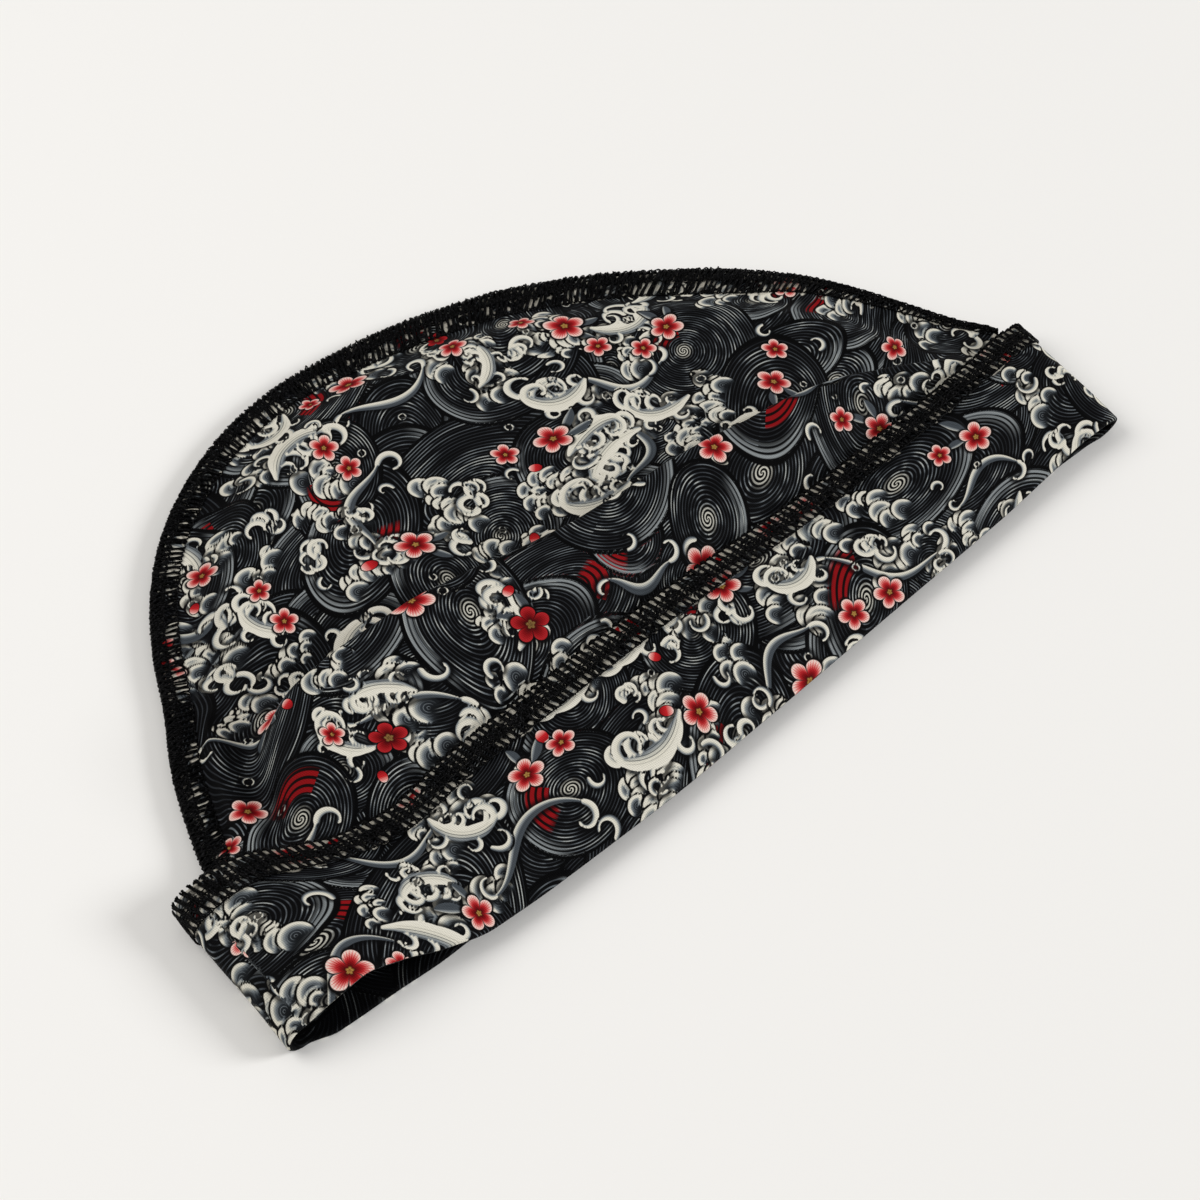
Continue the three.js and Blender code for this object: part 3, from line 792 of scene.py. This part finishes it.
def band_points(around, section):
    """Points of the band's surface. Around runs over the top from left to right, and back underneath."""
    ups, outs = np.array(section).T
    step, up = np.meshgrid(around, ups)

    def surface(step, up):
        left = lean_at(up) - HALF_WIDTH + FOLD_REACH - BAND_FULL_LEFT - smooth(up, 0.2, 0.8)
        right = lean_at(up) + HALF_WIDTH - FOLD_REACH
        share = np.where(step < 1, step, np.where(step < 2, 1, np.where(step < 3, 3 - step, 0)))
        x = mix(left, right, share)
        high_y = mix(upper_lip(x), upper_seam(x), up)
        high_z = band_top(x, up)
        low_y = mix(lower_lip(x), BAND_HEIGHT, up)
        low_z = OVERLOCK_RISE * smooth(up, 0.45, 0.8)
        turn = np.pi * np.clip(np.where(step < 2, step - 1, 4 - step), 0, 1)
        lean = (1 - np.cos(turn)) / 2
        side = np.where(step < 2, 1, -1)
        half = (high_z - low_z) / 2
        return np.dstack([
            x + side * FOLD_REACH * np.sin(turn),
            mix(high_y, low_y, lean),
            low_z + half + half * np.cos(turn),
        ])

    h = 1e-4
    here = surface(step, up)
    round_way = surface(step + h, up) - surface(np.where(step > h, step - h, step + 4 - h), up)
    up_way = surface(step, up + h) - surface(step, up - h)
    return here + unit(np.cross(round_way, up_way)) * outs[:, None, None]


def band_piece():
    fine = 1.0
    around = np.concatenate([
        np.linspace(0, 1, int(500 * fine), endpoint=False),
        np.linspace(1, 2, int(26 * fine) + 4, endpoint=False),
        2 + np.linspace(0, 0.8, int(130 * fine), endpoint=False),
        2 + np.linspace(0.8, 1, int(70 * fine), endpoint=False),
        np.linspace(3, 4, int(26 * fine) + 4),
    ])
    outer_up = np.append(np.linspace(0, 1 - 0.6 / BAND_HEIGHT, int(76 * fine)), [1 - 0.4 / BAND_HEIGHT, 1])
    inner_up = np.concatenate([np.linspace(1, 0.35, 6), np.linspace(0.33, 0, int(18 * fine))])
    half = BAND_CLOTH / 2
    turns = np.linspace(0, math.pi, 8)[1:-1]
    lip = [(-half * math.sin(a) / BAND_HEIGHT, -half * (1 + math.cos(a))) for a in turns]
    section = [(u, 0.0) for u in outer_up] + [(u, -BAND_CLOTH) for u in inner_up] + lip + [(0.0, 0.0)]
    points = band_points(around, section)
    points[:, -1] = points[:, 0]
    ups, outs = np.array(section).T
    reach, inside = ups * BAND_HEIGHT, outs < -half
    cloth_v = np.where(inside, -reach - 3, reach)
    cloth = np.dstack(np.meshgrid(lengths_of(points[0]) - HALF_WIDTH, cloth_v)).reshape(-1, 2)
    fields = lay_print(cloth, 41)
    # Painted shade: the band's inner face, in shade at its mouth, shows only swirls; its bright foam, clouds
    # and blossoms are left off
    shade_painted_inside = np.repeat(inside, len(around))
    fields["foam"][shade_painted_inside, 0] = fields["lobe"][shade_painted_inside, 0] = fields["bloom"][shade_painted_inside, 2] = FAR
    # Past 1, sewn stands for the band's folded edge, where the stretched cloth is pale
    sewn = smooth(reach, BAND_HEIGHT - BAND_SEWN, BAND_HEIGHT - BAND_SEWN + 0.5)
    # At -1, sewn marks the band's inner face, which the shader darkens to near-black as painted shade
    sewn = np.where(inside, -1, sewn + smooth(reach, BAND_HEIGHT - 0.6, BAND_HEIGHT - 0.4))
    fields["cloth"] = np.column_stack([cloth, np.repeat(sewn, len(around))])
    bm, layers = printed_mesh()
    laid_grid(bm, layers, points, fields)
    bmesh.ops.remove_doubles(bm, verts=bm.verts[:], dist=1e-6)
    return new_piece("band_cloth", bm)


band = band_piece()


# Threads

def thread_piece(name, runs):
    """Threads as fine round tubes: each run is a line of points and its thickness, in millimetres."""
    curve = bpy.data.curves.new(name, "CURVE")
    curve.dimensions = "3D"
    curve.bevel_depth = 1.0
    curve.bevel_resolution = 0
    curve.use_fill_caps = True
    for line, thick in runs:
        spline = curve.splines.new("POLY")
        spline.points.add(len(line) - 1)
        places = (np.asarray(line) + PLAN_ZERO) * MM
        spline.points.foreach_set("co", np.column_stack([places, np.ones(len(line))]).ravel())
        spline.points.foreach_set("radius", np.broadcast_to(thick, len(line)) / 2 * MM)
    holder = bpy.data.objects.new(name + "_run", curve)
    bpy.context.scene.collection.objects.link(holder)
    shown = holder.evaluated_get(bpy.context.evaluated_depsgraph_get())
    mesh = bpy.data.meshes.new_from_object(shown)
    bpy.data.objects.remove(holder)
    bm = bmesh.new()
    bm.from_mesh(mesh)
    bmesh.ops.remove_doubles(bm, verts=bm.verts[:], dist=1e-7)
    return new_piece(name, bm)


def sew(runs, rng, track, thin, thick):
    """Adds a run of thread for each stitch, through the places that it passes."""
    for stitch in np.stack(track, axis=1):
        runs.append((rounded_line(stitch, 2), rng.uniform(thin, thick)))


def fin_threads():
    """The crown's overlock: threads that zigzag over and under the fin, and lock in loops along its edge."""
    rng = np.random.default_rng(77)
    inward_way = rim_inside(1.0) - rim
    stitches = int(lengths_of(rim)[-1] / FIN_STITCH)
    counted = np.arange(stitches)
    slants = follow(FIN, "slant", rim[:, 0] / HALF_WIDTH)
    leaning = np.interp((counted + 0.5) / stitches, np.linspace(0, 1, len(rim)), slants)
    leaning += 0.07 * np.sin(counted * 0.23) + 0.04 * np.sin(counted * 0.61)
    runs = []

    def at(inset, share, level):
        """A place by its inset from the rim, its share of the rim's length, and its height on the fin."""
        spot = np.clip(share, 0, 1) * (len(rim) - 1)
        before = np.minimum(spot.astype(int), len(rim) - 2)
        part = (spot - before)[:, None]
        place = mix(rim[before], rim[before + 1], part)
        inward = mix(inward_way[before], inward_way[before + 1], part)
        place = place + inward * (inset * follow(FIN, "wide", place[:, 0] / HALF_WIDTH))[:, None]
        height = level + FIN_LIFT * band_lift_at(place[:, 1])
        over_cloth = from_relief(upper_relief, place[:, 0], place[:, 1]) + 0.25
        height = np.where(np.asarray(level) > UPPER_FIN_TOP, np.maximum(height, over_cloth), height)
        return np.column_stack([place, height])

    def bundle(path, spreads, strands, thick):
        """Strands that lie side by side in the stitches' middle and spread where they cross the next ones."""
        base = (counted + 0.5 + rng.normal(0, 0.12, stitches)) / stitches
        for strand in np.linspace(-1, 1, strands):
            track = []
            for (inset, level, slant), spread in zip(path, spreads):
                insets = inset + rng.normal(0, 0.1, stitches)
                shift = strand * spread + slant + leaning * (3 - inset) + rng.normal(0, 0.07, stitches)
                levels = level + rng.normal(0, 0.1, stitches) - 0.12 * abs(strand)
                track.append(at(insets, base + shift / stitches, levels))
            sew(runs, rng, track, thick * 0.85, thick * 1.2)

    over = (
        (FIN_WIDTH - 0.1, 3.3, 0.1), (5.0, 3.6, 0.06), (3.2, 3.75, 0.0), (1.5, 3.75, -0.06),
        (-0.15, 2.7, -0.1), (-0.1, 1.4, 0.2), (2.4, 0.78, 0.3), (5.4, 0.8, 0.2),
    )
    bundle(over, (0.3, 0.12, 0.15, 0.17, 0.3, 0.3, 0.3, 0.3), 3, 0.46)
    cross = ((3.2, 3.8, -0.6), (1.6, 3.95, -0.1), (0.2, 3.6, 0.5), (-0.3, 2.6, 0.7))
    bundle(cross, (0.1, 0.1, 0.12, 0.2), 2, 0.38)
    returning = ((3.0, 3.75, 0.9), (1.2, 3.9, 0.3), (0.0, 3.3, -0.3))
    bundle(returning, (0.2, 0.3, 0.2), 1, 0.5)
    travel = np.linspace(0, 1, stitches * 5)
    step = np.arange(len(travel))
    for inset, level, thick, swing in (
        (FIN_WIDTH - 0.2, 3.5, 0.36, 0.22), (2.9, 3.75, 0.42, 0.3), (0.9, 2.3, 0.95, 0.1),
        (0.1, 2.4, 0.7, 0.3), (-0.1, 1.5, 0.6, 0.3),
    ):
        sway = np.sin(step * math.tau / 5 + inset) * swing
        insets = inset + sway + rng.normal(0, 0.05, len(travel))
        runs.append((at(insets, travel, level + rng.normal(0, 0.06, len(travel))), thick))
    return thread_piece("crown_overlock_thread", runs)


fin = fin_threads()


def band_threads():
    """The band's overlock: a net over the band's upper edge, dense in its middle, with two rows of gaps."""
    rng = np.random.default_rng(91)
    over, fold = 900, 40
    around = np.concatenate([
        np.linspace(0, 1, over, endpoint=False), np.linspace(1, 2, fold, endpoint=False),
        np.linspace(2, 3, 500, endpoint=False), np.linspace(3, 4, fold),
    ])
    depths = np.linspace(-1, BAND_SEWN, 12)
    sheet = band_points(around, [(1 - d / BAND_HEIGHT, 0.45) for d in depths])
    length = lengths_of(sheet[3])
    runs = []

    def at(depth, travel, lift):
        """A place by its depth from the band's upper edge, how far round it lies, and its lift."""
        travel = np.mod(travel, length[-1])
        left = np.clip(np.searchsorted(length, travel, side="right") - 1, 0, len(length) - 2)
        part = ((travel - length[left]) / (length[left + 1] - length[left]))[:, None]
        down = np.broadcast_to(np.interp(depth, depths, np.arange(len(depths))), travel.shape)
        row = np.minimum(down.astype(int), len(depths) - 2)
        high = mix(sheet[row, left], sheet[row, left + 1], part)
        low = mix(sheet[row + 1, left], sheet[row + 1, left + 1], part)
        place = mix(high, low, (down - row)[:, None])
        place[:, 2] += lift * np.where(left < over + fold / 2, 1, -0.3)
        return place

    stitches = int(length[-1] / BAND_STITCH)
    pitch = length[-1] / stitches
    base = (np.arange(stitches) + rng.normal(0, 0.07, stitches)) * pitch
    slope = 0.32
    spreads = (
        (-0.45, 0.3, -1.15), (-0.35, 0.26, 0.1), (1.2, 0.16, 0.12), (2.2, 0.24, 0.12), (3.2, 0.28, 0.12),
        (4.7, 0.3, 0.12), (5.7, 0.2, 0.12), (6.6, 0.16, 0.12), (7.5, 0.3, 0.12), (8.1, 0.5, 0.12),
    )
    for strand in (-1, 0, 1):
        track = []
        for depth, spread, lift in spreads:
            deep = depth + rng.normal(0, 0.08, stitches)
            shift = pitch * strand * spread * 0.75 + slope * depth + rng.normal(0, 0.07, stitches)
            track.append(at(deep, base + shift, lift + rng.normal(0, 0.06, stitches)))
        sew(runs, rng, track, 0.42, 0.6)
    for strand in (-0.6, 0.4):
        track = []
        for depth in (2.6, 3.4, 4.4, 5.4):
            shift = pitch * strand - slope * depth * 1.5 + rng.normal(0, 0.1, stitches)
            track.append(at(depth, base + shift, 0.2 + rng.normal(0, 0.05, stitches)))
        sew(runs, rng, track, 0.36, 0.52)
    travel = np.linspace(0, length[-1], int(length[-1] / 0.72))
    for depth, thick, swing in ((2.7, 0.42, 0.3), (3.6, 0.5, 0.3), (5.3, 0.42, 0.3), (8.0, 0.4, 0.16)):
        wave = swing * np.sin(np.arange(len(travel)) * 2.6 + depth * 3) + rng.normal(0, 0.05, len(travel))
        runs.append((at(depth + wave * 0.5, travel + wave, 0.12 + np.abs(wave) * 0.6), thick))
    return thread_piece("band_overlock_thread", runs)


seam = band_threads()


# Materials

def ink_colour(code):
    """An sRGB hex colour as the linear colour that a shader takes."""
    parts = [int(code[k:k + 2], 16) / 255 for k in (1, 3, 5)]
    return [p / 12.92 if p <= 0.04045 else ((p + 0.055) / 1.055) ** 2.4 for p in parts] + [1.0]


def add(tree, kind, *values, ramp=(), inputs=None, **settings):
    """Adds one node with its settings and its inputs in order, each a number, a colour or a link's start.
    A kind in capitals is the operation of a Math node, and a Mix node mixes colours."""
    made = tree.nodes.new("ShaderNode" + ("Math" if kind.isupper() else kind))
    if kind.isupper():
        made.operation = kind
    if kind == "Mix":
        made.data_type = "RGBA"
    for key, value in settings.items():
        setattr(made, key, value)
    if ramp:
        elements = made.color_ramp.elements
        while len(elements) < len(ramp):
            elements.new(0.5)
        for element, (place, code) in zip(elements, ramp):
            element.position = place
            element.color = ink_colour(code)
    sockets = [socket for socket in made.inputs if socket.enabled]
    named = [(made.inputs[key], value) for key, value in (inputs or {}).items()]
    for socket, value in list(zip(sockets, values)) + named:
        if isinstance(value, str):
            value = ink_colour(value)
        if isinstance(value, bpy.types.Node):
            value = next(output for output in value.outputs if output.enabled)
        if isinstance(value, bpy.types.NodeSocket):
            tree.links.new(value, socket)
        else:
            socket.default_value = value
    return made


def new_material(name):
    material = bpy.data.materials.new(name)
    material.use_nodes = True
    material.node_tree.nodes.clear()
    return material, partial(add, material.node_tree)


def printed_knit():
    """Printed stretch polyester knit: matt, near-black inks on fine courses of stitches, hardly any gloss."""
    material, node = new_material("printed_polyester_knit")
    field = {
        name: node("SeparateXYZ", node("Attribute", attribute_name=name).outputs["Vector"]).outputs
        for name in FIELDS
    }
    u, v, sewn = field["cloth"]
    chance, tone, kind = field["marks"]
    ease = {"interpolation_type": "SMOOTHSTEP"}

    def off_middle(count):
        """In stripes that are counted by the whole numbers, how far a point is from its stripe's middle."""
        return node("ABSOLUTE", node("SUBTRACT", node("FRACT", count), 0.5))

    def length_of(x, y):
        return node("SQRT", node("MULTIPLY_ADD", x, x, node("MULTIPLY", y, y)))

    # Flow lines: spirals round each swirl's middle, 0.74 mm apart, bright and dim by turns like brush hairs
    x, y, edge = field["swirl"]
    radius = length_of(x, y)
    turn = node("DIVIDE", node("ARCTAN2", y, x), math.tau)
    phase = node("MULTIPLY_ADD", turn, 2.0, node("DIVIDE", radius, 0.74))
    phase = node("MULTIPLY_ADD", chance, 3.7, phase)
    way_x, way_y = (node("DIVIDE", c, node("MAXIMUM", radius, 0.5)) for c in (x, y))
    own = node("MULTIPLY", chance, 40.0)
    bundle_at = node("CombineXYZ", way_x, way_y, node("MULTIPLY_ADD", radius, 0.28, own))
    bundle = node("TexNoise", bundle_at, inputs={"Scale": 1.1, "Detail": 1.0})
    hair_row = node("MULTIPLY_ADD", node("FLOOR", phase), 2.3, own)
    hair = node("TexNoise", node("CombineXYZ", way_x, way_y, hair_row), inputs={"Scale": 1.8, "Detail": 1.5})
    bright = node(
        "MULTIPLY", node("MapRange", bundle, 0.3, 0.66, 0.12, 1.0, **ease),
        node("MapRange", hair, 0.3, 0.62, **ease),
    )
    off_line = off_middle(phase)
    stroke = node("MapRange", off_line, 0.2, 0.06, **ease)
    weave = node("TexNoise", node("CombineXYZ", u, v, 0.0), inputs={"Scale": 0.09, "Detail": 3.0})
    ground = node("Mix", weave, "#050506", "#0c0c0e")
    line_ink = node("ValToRGB", bright, ramp=[
        (0.0, "#1b1d20"), (0.3, "#3a3e43"), (0.65, "#6f767b"), (1.0, "#b9bdba"),
    ])
    ink = node("Mix", stroke, ground, line_ink)
    core = node(
        "MULTIPLY", node("MapRange", radius, 2.8, 1.0, **ease),
        node("MapRange", off_line, 0.26, 0.16),
    )
    ink = node("Mix", core, ink, "#c9c7bb")

    # Red bands on some swirls
    sector = node("FRACT", node("MULTIPLY_ADD", chance, 7.0, turn))
    red_zone = node("GREATER_THAN", chance, 0.7)
    for value, start, end in ((radius, 4.4, 4.7), (radius, 9.5, 9.2), (sector, 0.23, 0.2)):
        red_zone = node("MULTIPLY", red_zone, node("MapRange", value, start, end))
    wide = node("MapRange", off_middle(node("MULTIPLY_ADD", phase, 0.5, 0.25)), 0.34, 0.26)
    red = node("Mix", wide, "#170a0b", "#8e1318")
    ink = node("Mix", red_zone, ink, red)

    # The swirl's own rim: a crest of a few bright lines on one side, and a dark line where it ends
    inside_rim = field["eddy"][0]
    side_lit = node("SINE", node("MULTIPLY", node("ADD", turn, chance), math.tau))
    crest = node(
        "MULTIPLY", node("MapRange", inside_rim, 3.4, 0.8, **ease),
        node("MapRange", side_lit, 0.1, 0.6, **ease),
    )
    crest_line = node("MapRange", off_middle(node("MULTIPLY", inside_rim, 1.15)), 0.14, 0.3, 0.0, 0.85)
    ink = node("Mix", node("MULTIPLY", crest, crest_line), ink, "#969c9e")
    ink = node("Mix", node("MapRange", edge, 0.5, 0.3), ink, "#050506")

    # Cloud lobes: a cream rim on the upper left that fades over hatched slate into the dark
    lobe_edge, lobe_x, lobe_y = field["lobe"]
    out = length_of(lobe_x, lobe_y)
    lit = node("MULTIPLY_ADD", lobe_x, -0.5, node("MULTIPLY", lobe_y, 0.87))
    lit = node("DIVIDE", lit, node("MAXIMUM", out, 0.15))
    rim_light = node(
        "MULTIPLY", node("MapRange", out, 0.35, 0.88, **ease),
        node("MapRange", lit, -0.6, 0.3, **ease),
    )
    lobe_line = node(
        "MULTIPLY", node("MapRange", lobe_edge, -0.75, -0.4, 0.0, 0.5), node("MapRange", lit, -0.5, 0.2),
    )
    lobe_tone = node("MULTIPLY_ADD", node("MapRange", lit, -1.0, 1.0, 0.0, 0.2), out, lobe_line)
    lobe_tone = node("MULTIPLY_ADD", rim_light, 0.5, lobe_tone)
    cloud = node("ValToRGB", lobe_tone, ramp=[
        (0.0, "#17191c"), (0.15, "#3e444a"), (0.38, "#82898d"), (0.62, "#c2c2b8"), (0.85, "#e3dfd1"),
    ])
    ring = node("MapRange", off_middle(node("MULTIPLY", out, 5.2)), 0.18, 0.06)
    arc = node("MULTIPLY", ring, node("MapRange", lit, -0.7, 0.1, 0.0, 0.75))
    arc = node("MULTIPLY", arc, node("MapRange", rim_light, 0.75, 0.4))
    arc_ink = node("Mix", node("MapRange", rim_light, 0.15, 0.35), "#6f767b", "#24282c")
    cloud = node("Mix", arc, cloud, arc_ink)
    foot = node("MapRange", node("MULTIPLY", lit, out), -0.85, -0.1, **ease)
    outline = node("MULTIPLY", node("MapRange", lobe_edge, 0.5, 0.36), foot)
    ink = node("Mix", outline, ink, "#050506")
    covered = node("MULTIPLY", node("MapRange", lobe_edge, 0.08, -0.08), foot)
    ink = node("Mix", covered, ink, cloud)

    # Foam strokes: flat cream, slate along one side, with fine dark lines where they are broad
    foam_edge, side, width = field["foam"]
    across = node("DIVIDE", side, node("MAXIMUM", width, 0.2))
    foam = node("ValToRGB", node("MapRange", node("SUBTRACT", across, tone), -1.2, 0.8), ramp=[
        (0.0, "#464c52"), (0.2, "#8b9194"), (0.36, "#c8c7bc"), (0.55, "#e3dfd0"), (1.0, "#eae6d9"),
    ])
    comb = node("MapRange", off_middle(node("MULTIPLY", side, 1.2)), 0.17, 0.07, 0.0, 0.85)
    comb = node("MULTIPLY", comb, node("MapRange", width, 1.0, 1.3))
    comb = node("MULTIPLY", comb, node("MapRange", across, 0.45, -0.2))
    foam = node("Mix", comb, foam, "#3a3f44")
    ink = node("Mix", node("MapRange", foam_edge, 1.5, 0.5, 0.0, 0.88), ink, "#08080a")
    ink = node("Mix", node("MapRange", foam_edge, 0.07, -0.07), ink, foam)

    # Blossoms: five petals, pale at the edge and deep red inside, with a ring of stamens
    bloom_x, bloom_y, far = field["bloom"]
    angle = node("ARCTAN2", bloom_y, bloom_x)
    petal = node("ABSOLUTE", node("COSINE", node("MULTIPLY", angle, 2.5)))
    petal = node("POWER", petal, 0.6)
    bud = node("GREATER_THAN", kind, 1.5)
    reach = node("MAXIMUM", bud, node("MULTIPLY_ADD", petal, 0.5, 0.5))
    inside = node("DIVIDE", far, reach)
    ray = node("SINE", node("MULTIPLY", angle, 45.0))
    ray = node("MULTIPLY", ray, node("MULTIPLY", inside, 0.09))
    bloom = node("ValToRGB", node("ADD", inside, ray), ramp=[
        (0.0, "#4a1a10"), (0.13, "#b38a48"), (0.2, "#470a0c"), (0.42, "#8a1116"), (0.6, "#bf2c30"),
        (0.77, "#e0827c"), (0.9, "#f0c4ba"), (1.0, "#f3dbd1"),
    ])
    deep = node("ValToRGB", inside, ramp=[
        (0.0, "#2c0a0a"), (0.2, "#8a6a3c"), (0.28, "#3f070a"), (0.65, "#8a1217"), (1.0, "#b5262b"),
    ])
    bloom = node("Mix", node("MapRange", kind, 0.12, 0.1), bloom, deep)
    bud_ink = node("ValToRGB", node("MULTIPLY_ADD", bloom_x, 0.5, 0.5), ramp=[
        (0.0, "#8c0f15"), (0.5, "#c8262b"), (0.8, "#eb9b94"), (1.0, "#f6ddd4"),
    ])
    bloom = node("Mix", bud, bloom, bud_ink)
    notch = node("MapRange", petal, 0.45, 0.2, 0.0, 0.85)
    notch = node("MULTIPLY", notch, node("MapRange", inside, 0.25, 0.6))
    notch = node("MULTIPLY", notch, node("SUBTRACT", 1.0, bud))
    bloom = node("Mix", notch, bloom, "#2c0608")
    ink = node("Mix", node("MapRange", inside, 1.25, 1.1), ink, "#0c0a0b")
    ink = node("Mix", node("MapRange", inside, 1.02, 0.98), ink, bloom)

    # Under the overlocks the stretched cloth shows its pale side in places, and along the band's folded edge
    patch = node("TexNoise", node("CombineXYZ", u, v, 3.0), inputs={"Scale": 0.28, "Detail": 2.0})
    patch = node("MULTIPLY_ADD", node("MINIMUM", sewn, 1.0), 0.15, patch)
    under = node("MapRange", sewn, 0.1, 0.5)
    pale = node("MULTIPLY", node("MapRange", patch, 0.66, 0.73, 0.0, 0.9), under)
    pale = node("MAXIMUM", pale, node("MapRange", sewn, 1.2, 1.8, 0.0, 0.8))
    ink = node("Mix", pale, ink, "#d9d4c6")

    # Painted shade: the cloth's reverse, on the cap's inner faces where sewn is -1, is mixed most of the way
    # to near-black as the shade inside the cap, so the print hardly shows through
    ink = node("Mix", node("MapRange", sewn, -0.3, -0.7, 0.0, 0.8), ink, "#050506")

    # Rows of knit stitches cross on the slant, 0.57 and 0.78 mm apart. The real ones, about 0.5 mm apart, are
    # too fine to show
    slants = [
        node("SINE", node("MULTIPLY", node("MULTIPLY_ADD", v, share, u), math.tau / pitch))
        for share, pitch in ((1.0, 0.8), (-1.0, 1.1))
    ]
    stitches = node("MULTIPLY", *slants)
    shade = node("MULTIPLY_ADD", stitches, 0.5, 0.5)
    shade = node("ValToRGB", shade, ramp=[(0.0, "#dcdcdc"), (1.0, "#ffffff")])
    ink = node("Mix", 1.0, ink, shade, blend_type="MULTIPLY")
    bump = node("Bump", inputs={"Strength": 0.35, "Distance": 0.0001, "Height": stitches.outputs[0]})
    shader = node("BsdfPrincipled", inputs={
        "Base Color": ink, "Roughness": 0.58, "Specular IOR Level": 0.03, "Sheen Weight": 0.01,
        "Sheen Roughness": 0.4, "Normal": bump,
    })
    node("OutputMaterial", shader)
    return material


def overlock_thread():
    """Black textured polyester overlock thread: matt black fibres. Patches about 0.4 mm across give the
    strands their bumps and a darker or lighter tone, because single fibres are too fine to show, and the
    lightest patches are painted glints that stand for a soft gloss on each strand."""
    material, node = new_material("polyester_overlock_thread")
    place = node("TexCoord").outputs["Object"]
    fibre_and_glint = node("TexNoise", inputs={"Vector": place, "Scale": 2600.0, "Detail": 3.0})
    # Painted highlight: the ramp's lightest stop is glints painted into the thread's colour; its darker stops
    # are the tone of the fibres
    colour = node("ValToRGB", fibre_and_glint, ramp=[(0.4, "#020202"), (0.56, "#0a0a0b"), (0.7, "#29292b")])
    bump = node("Bump", inputs={"Strength": 0.5, "Distance": 0.0001, "Height": fibre_and_glint.outputs[0]})
    shader = node("BsdfPrincipled", inputs={
        "Base Color": colour, "Roughness": 0.35, "Specular IOR Level": 0.03, "Sheen Weight": 0.001,
        "Normal": bump,
    })
    node("OutputMaterial", shader)
    return material


knit = printed_knit()
thread = overlock_thread()
for piece, finish, slot in (
    (upper, knit, "printed_knit"), (lower, knit, "printed_knit"), (band, knit, "printed_knit"),
    (fin, thread, "overlock_thread"), (seam, thread, "overlock_thread"),
):
    piece.data.materials.clear()
    piece.data.materials.append(finish)
    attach(piece, "root")
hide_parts("crown_upper_panel")
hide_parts("crown_lower_panel")
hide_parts("band")
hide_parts("crown_overlock")
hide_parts("band_overlock")


# The floor and the studio light

def matt_paper():
    """A sweep of matt paper: pale and even, with a wide faint gloss."""
    material, node = new_material("matt_paper_sweep")
    node("OutputMaterial", node("BsdfPrincipled", inputs={
        "Base Color": "#f3f2f0", "Roughness": 0.85, "Specular IOR Level": 0.2,
    }))
    return material


bm = bmesh.new()
bmesh.ops.create_grid(bm, x_segments=1, y_segments=1, size=3)
floor = new_piece("floor", bm)
floor.data.materials.append(matt_paper())


def soft_light(name, place, size, power, tint):
    lamp = bpy.data.lights.new(name, "AREA")
    lamp.shape = "DISK"
    lamp.size = size
    lamp.energy = power
    lamp.color = ink_colour(tint)[:3]
    holder = bpy.data.objects.new(name, lamp)
    holder.location = place
    holder.rotation_euler = Vector(place).to_track_quat("Z", "Y").to_euler()
    bpy.context.scene.collection.objects.link(holder)


soft_light("key", (2.4, -2.0, 1.5), 1.3, 75.5, "#ffffff")
soft_light("fill", (-0.85, 0.8, 1.2), 1.4, 14, "#fffdfa")
world = bpy.data.worlds.new("studio")
bpy.context.scene.world = world
world.use_nodes = True
world.node_tree.nodes["Background"].inputs["Color"].default_value = ink_colour("#f8f7f5")
world.node_tree.nodes["Background"].inputs["Strength"].default_value = 0.455
bpy.context.scene.view_settings.view_transform = "Standard"
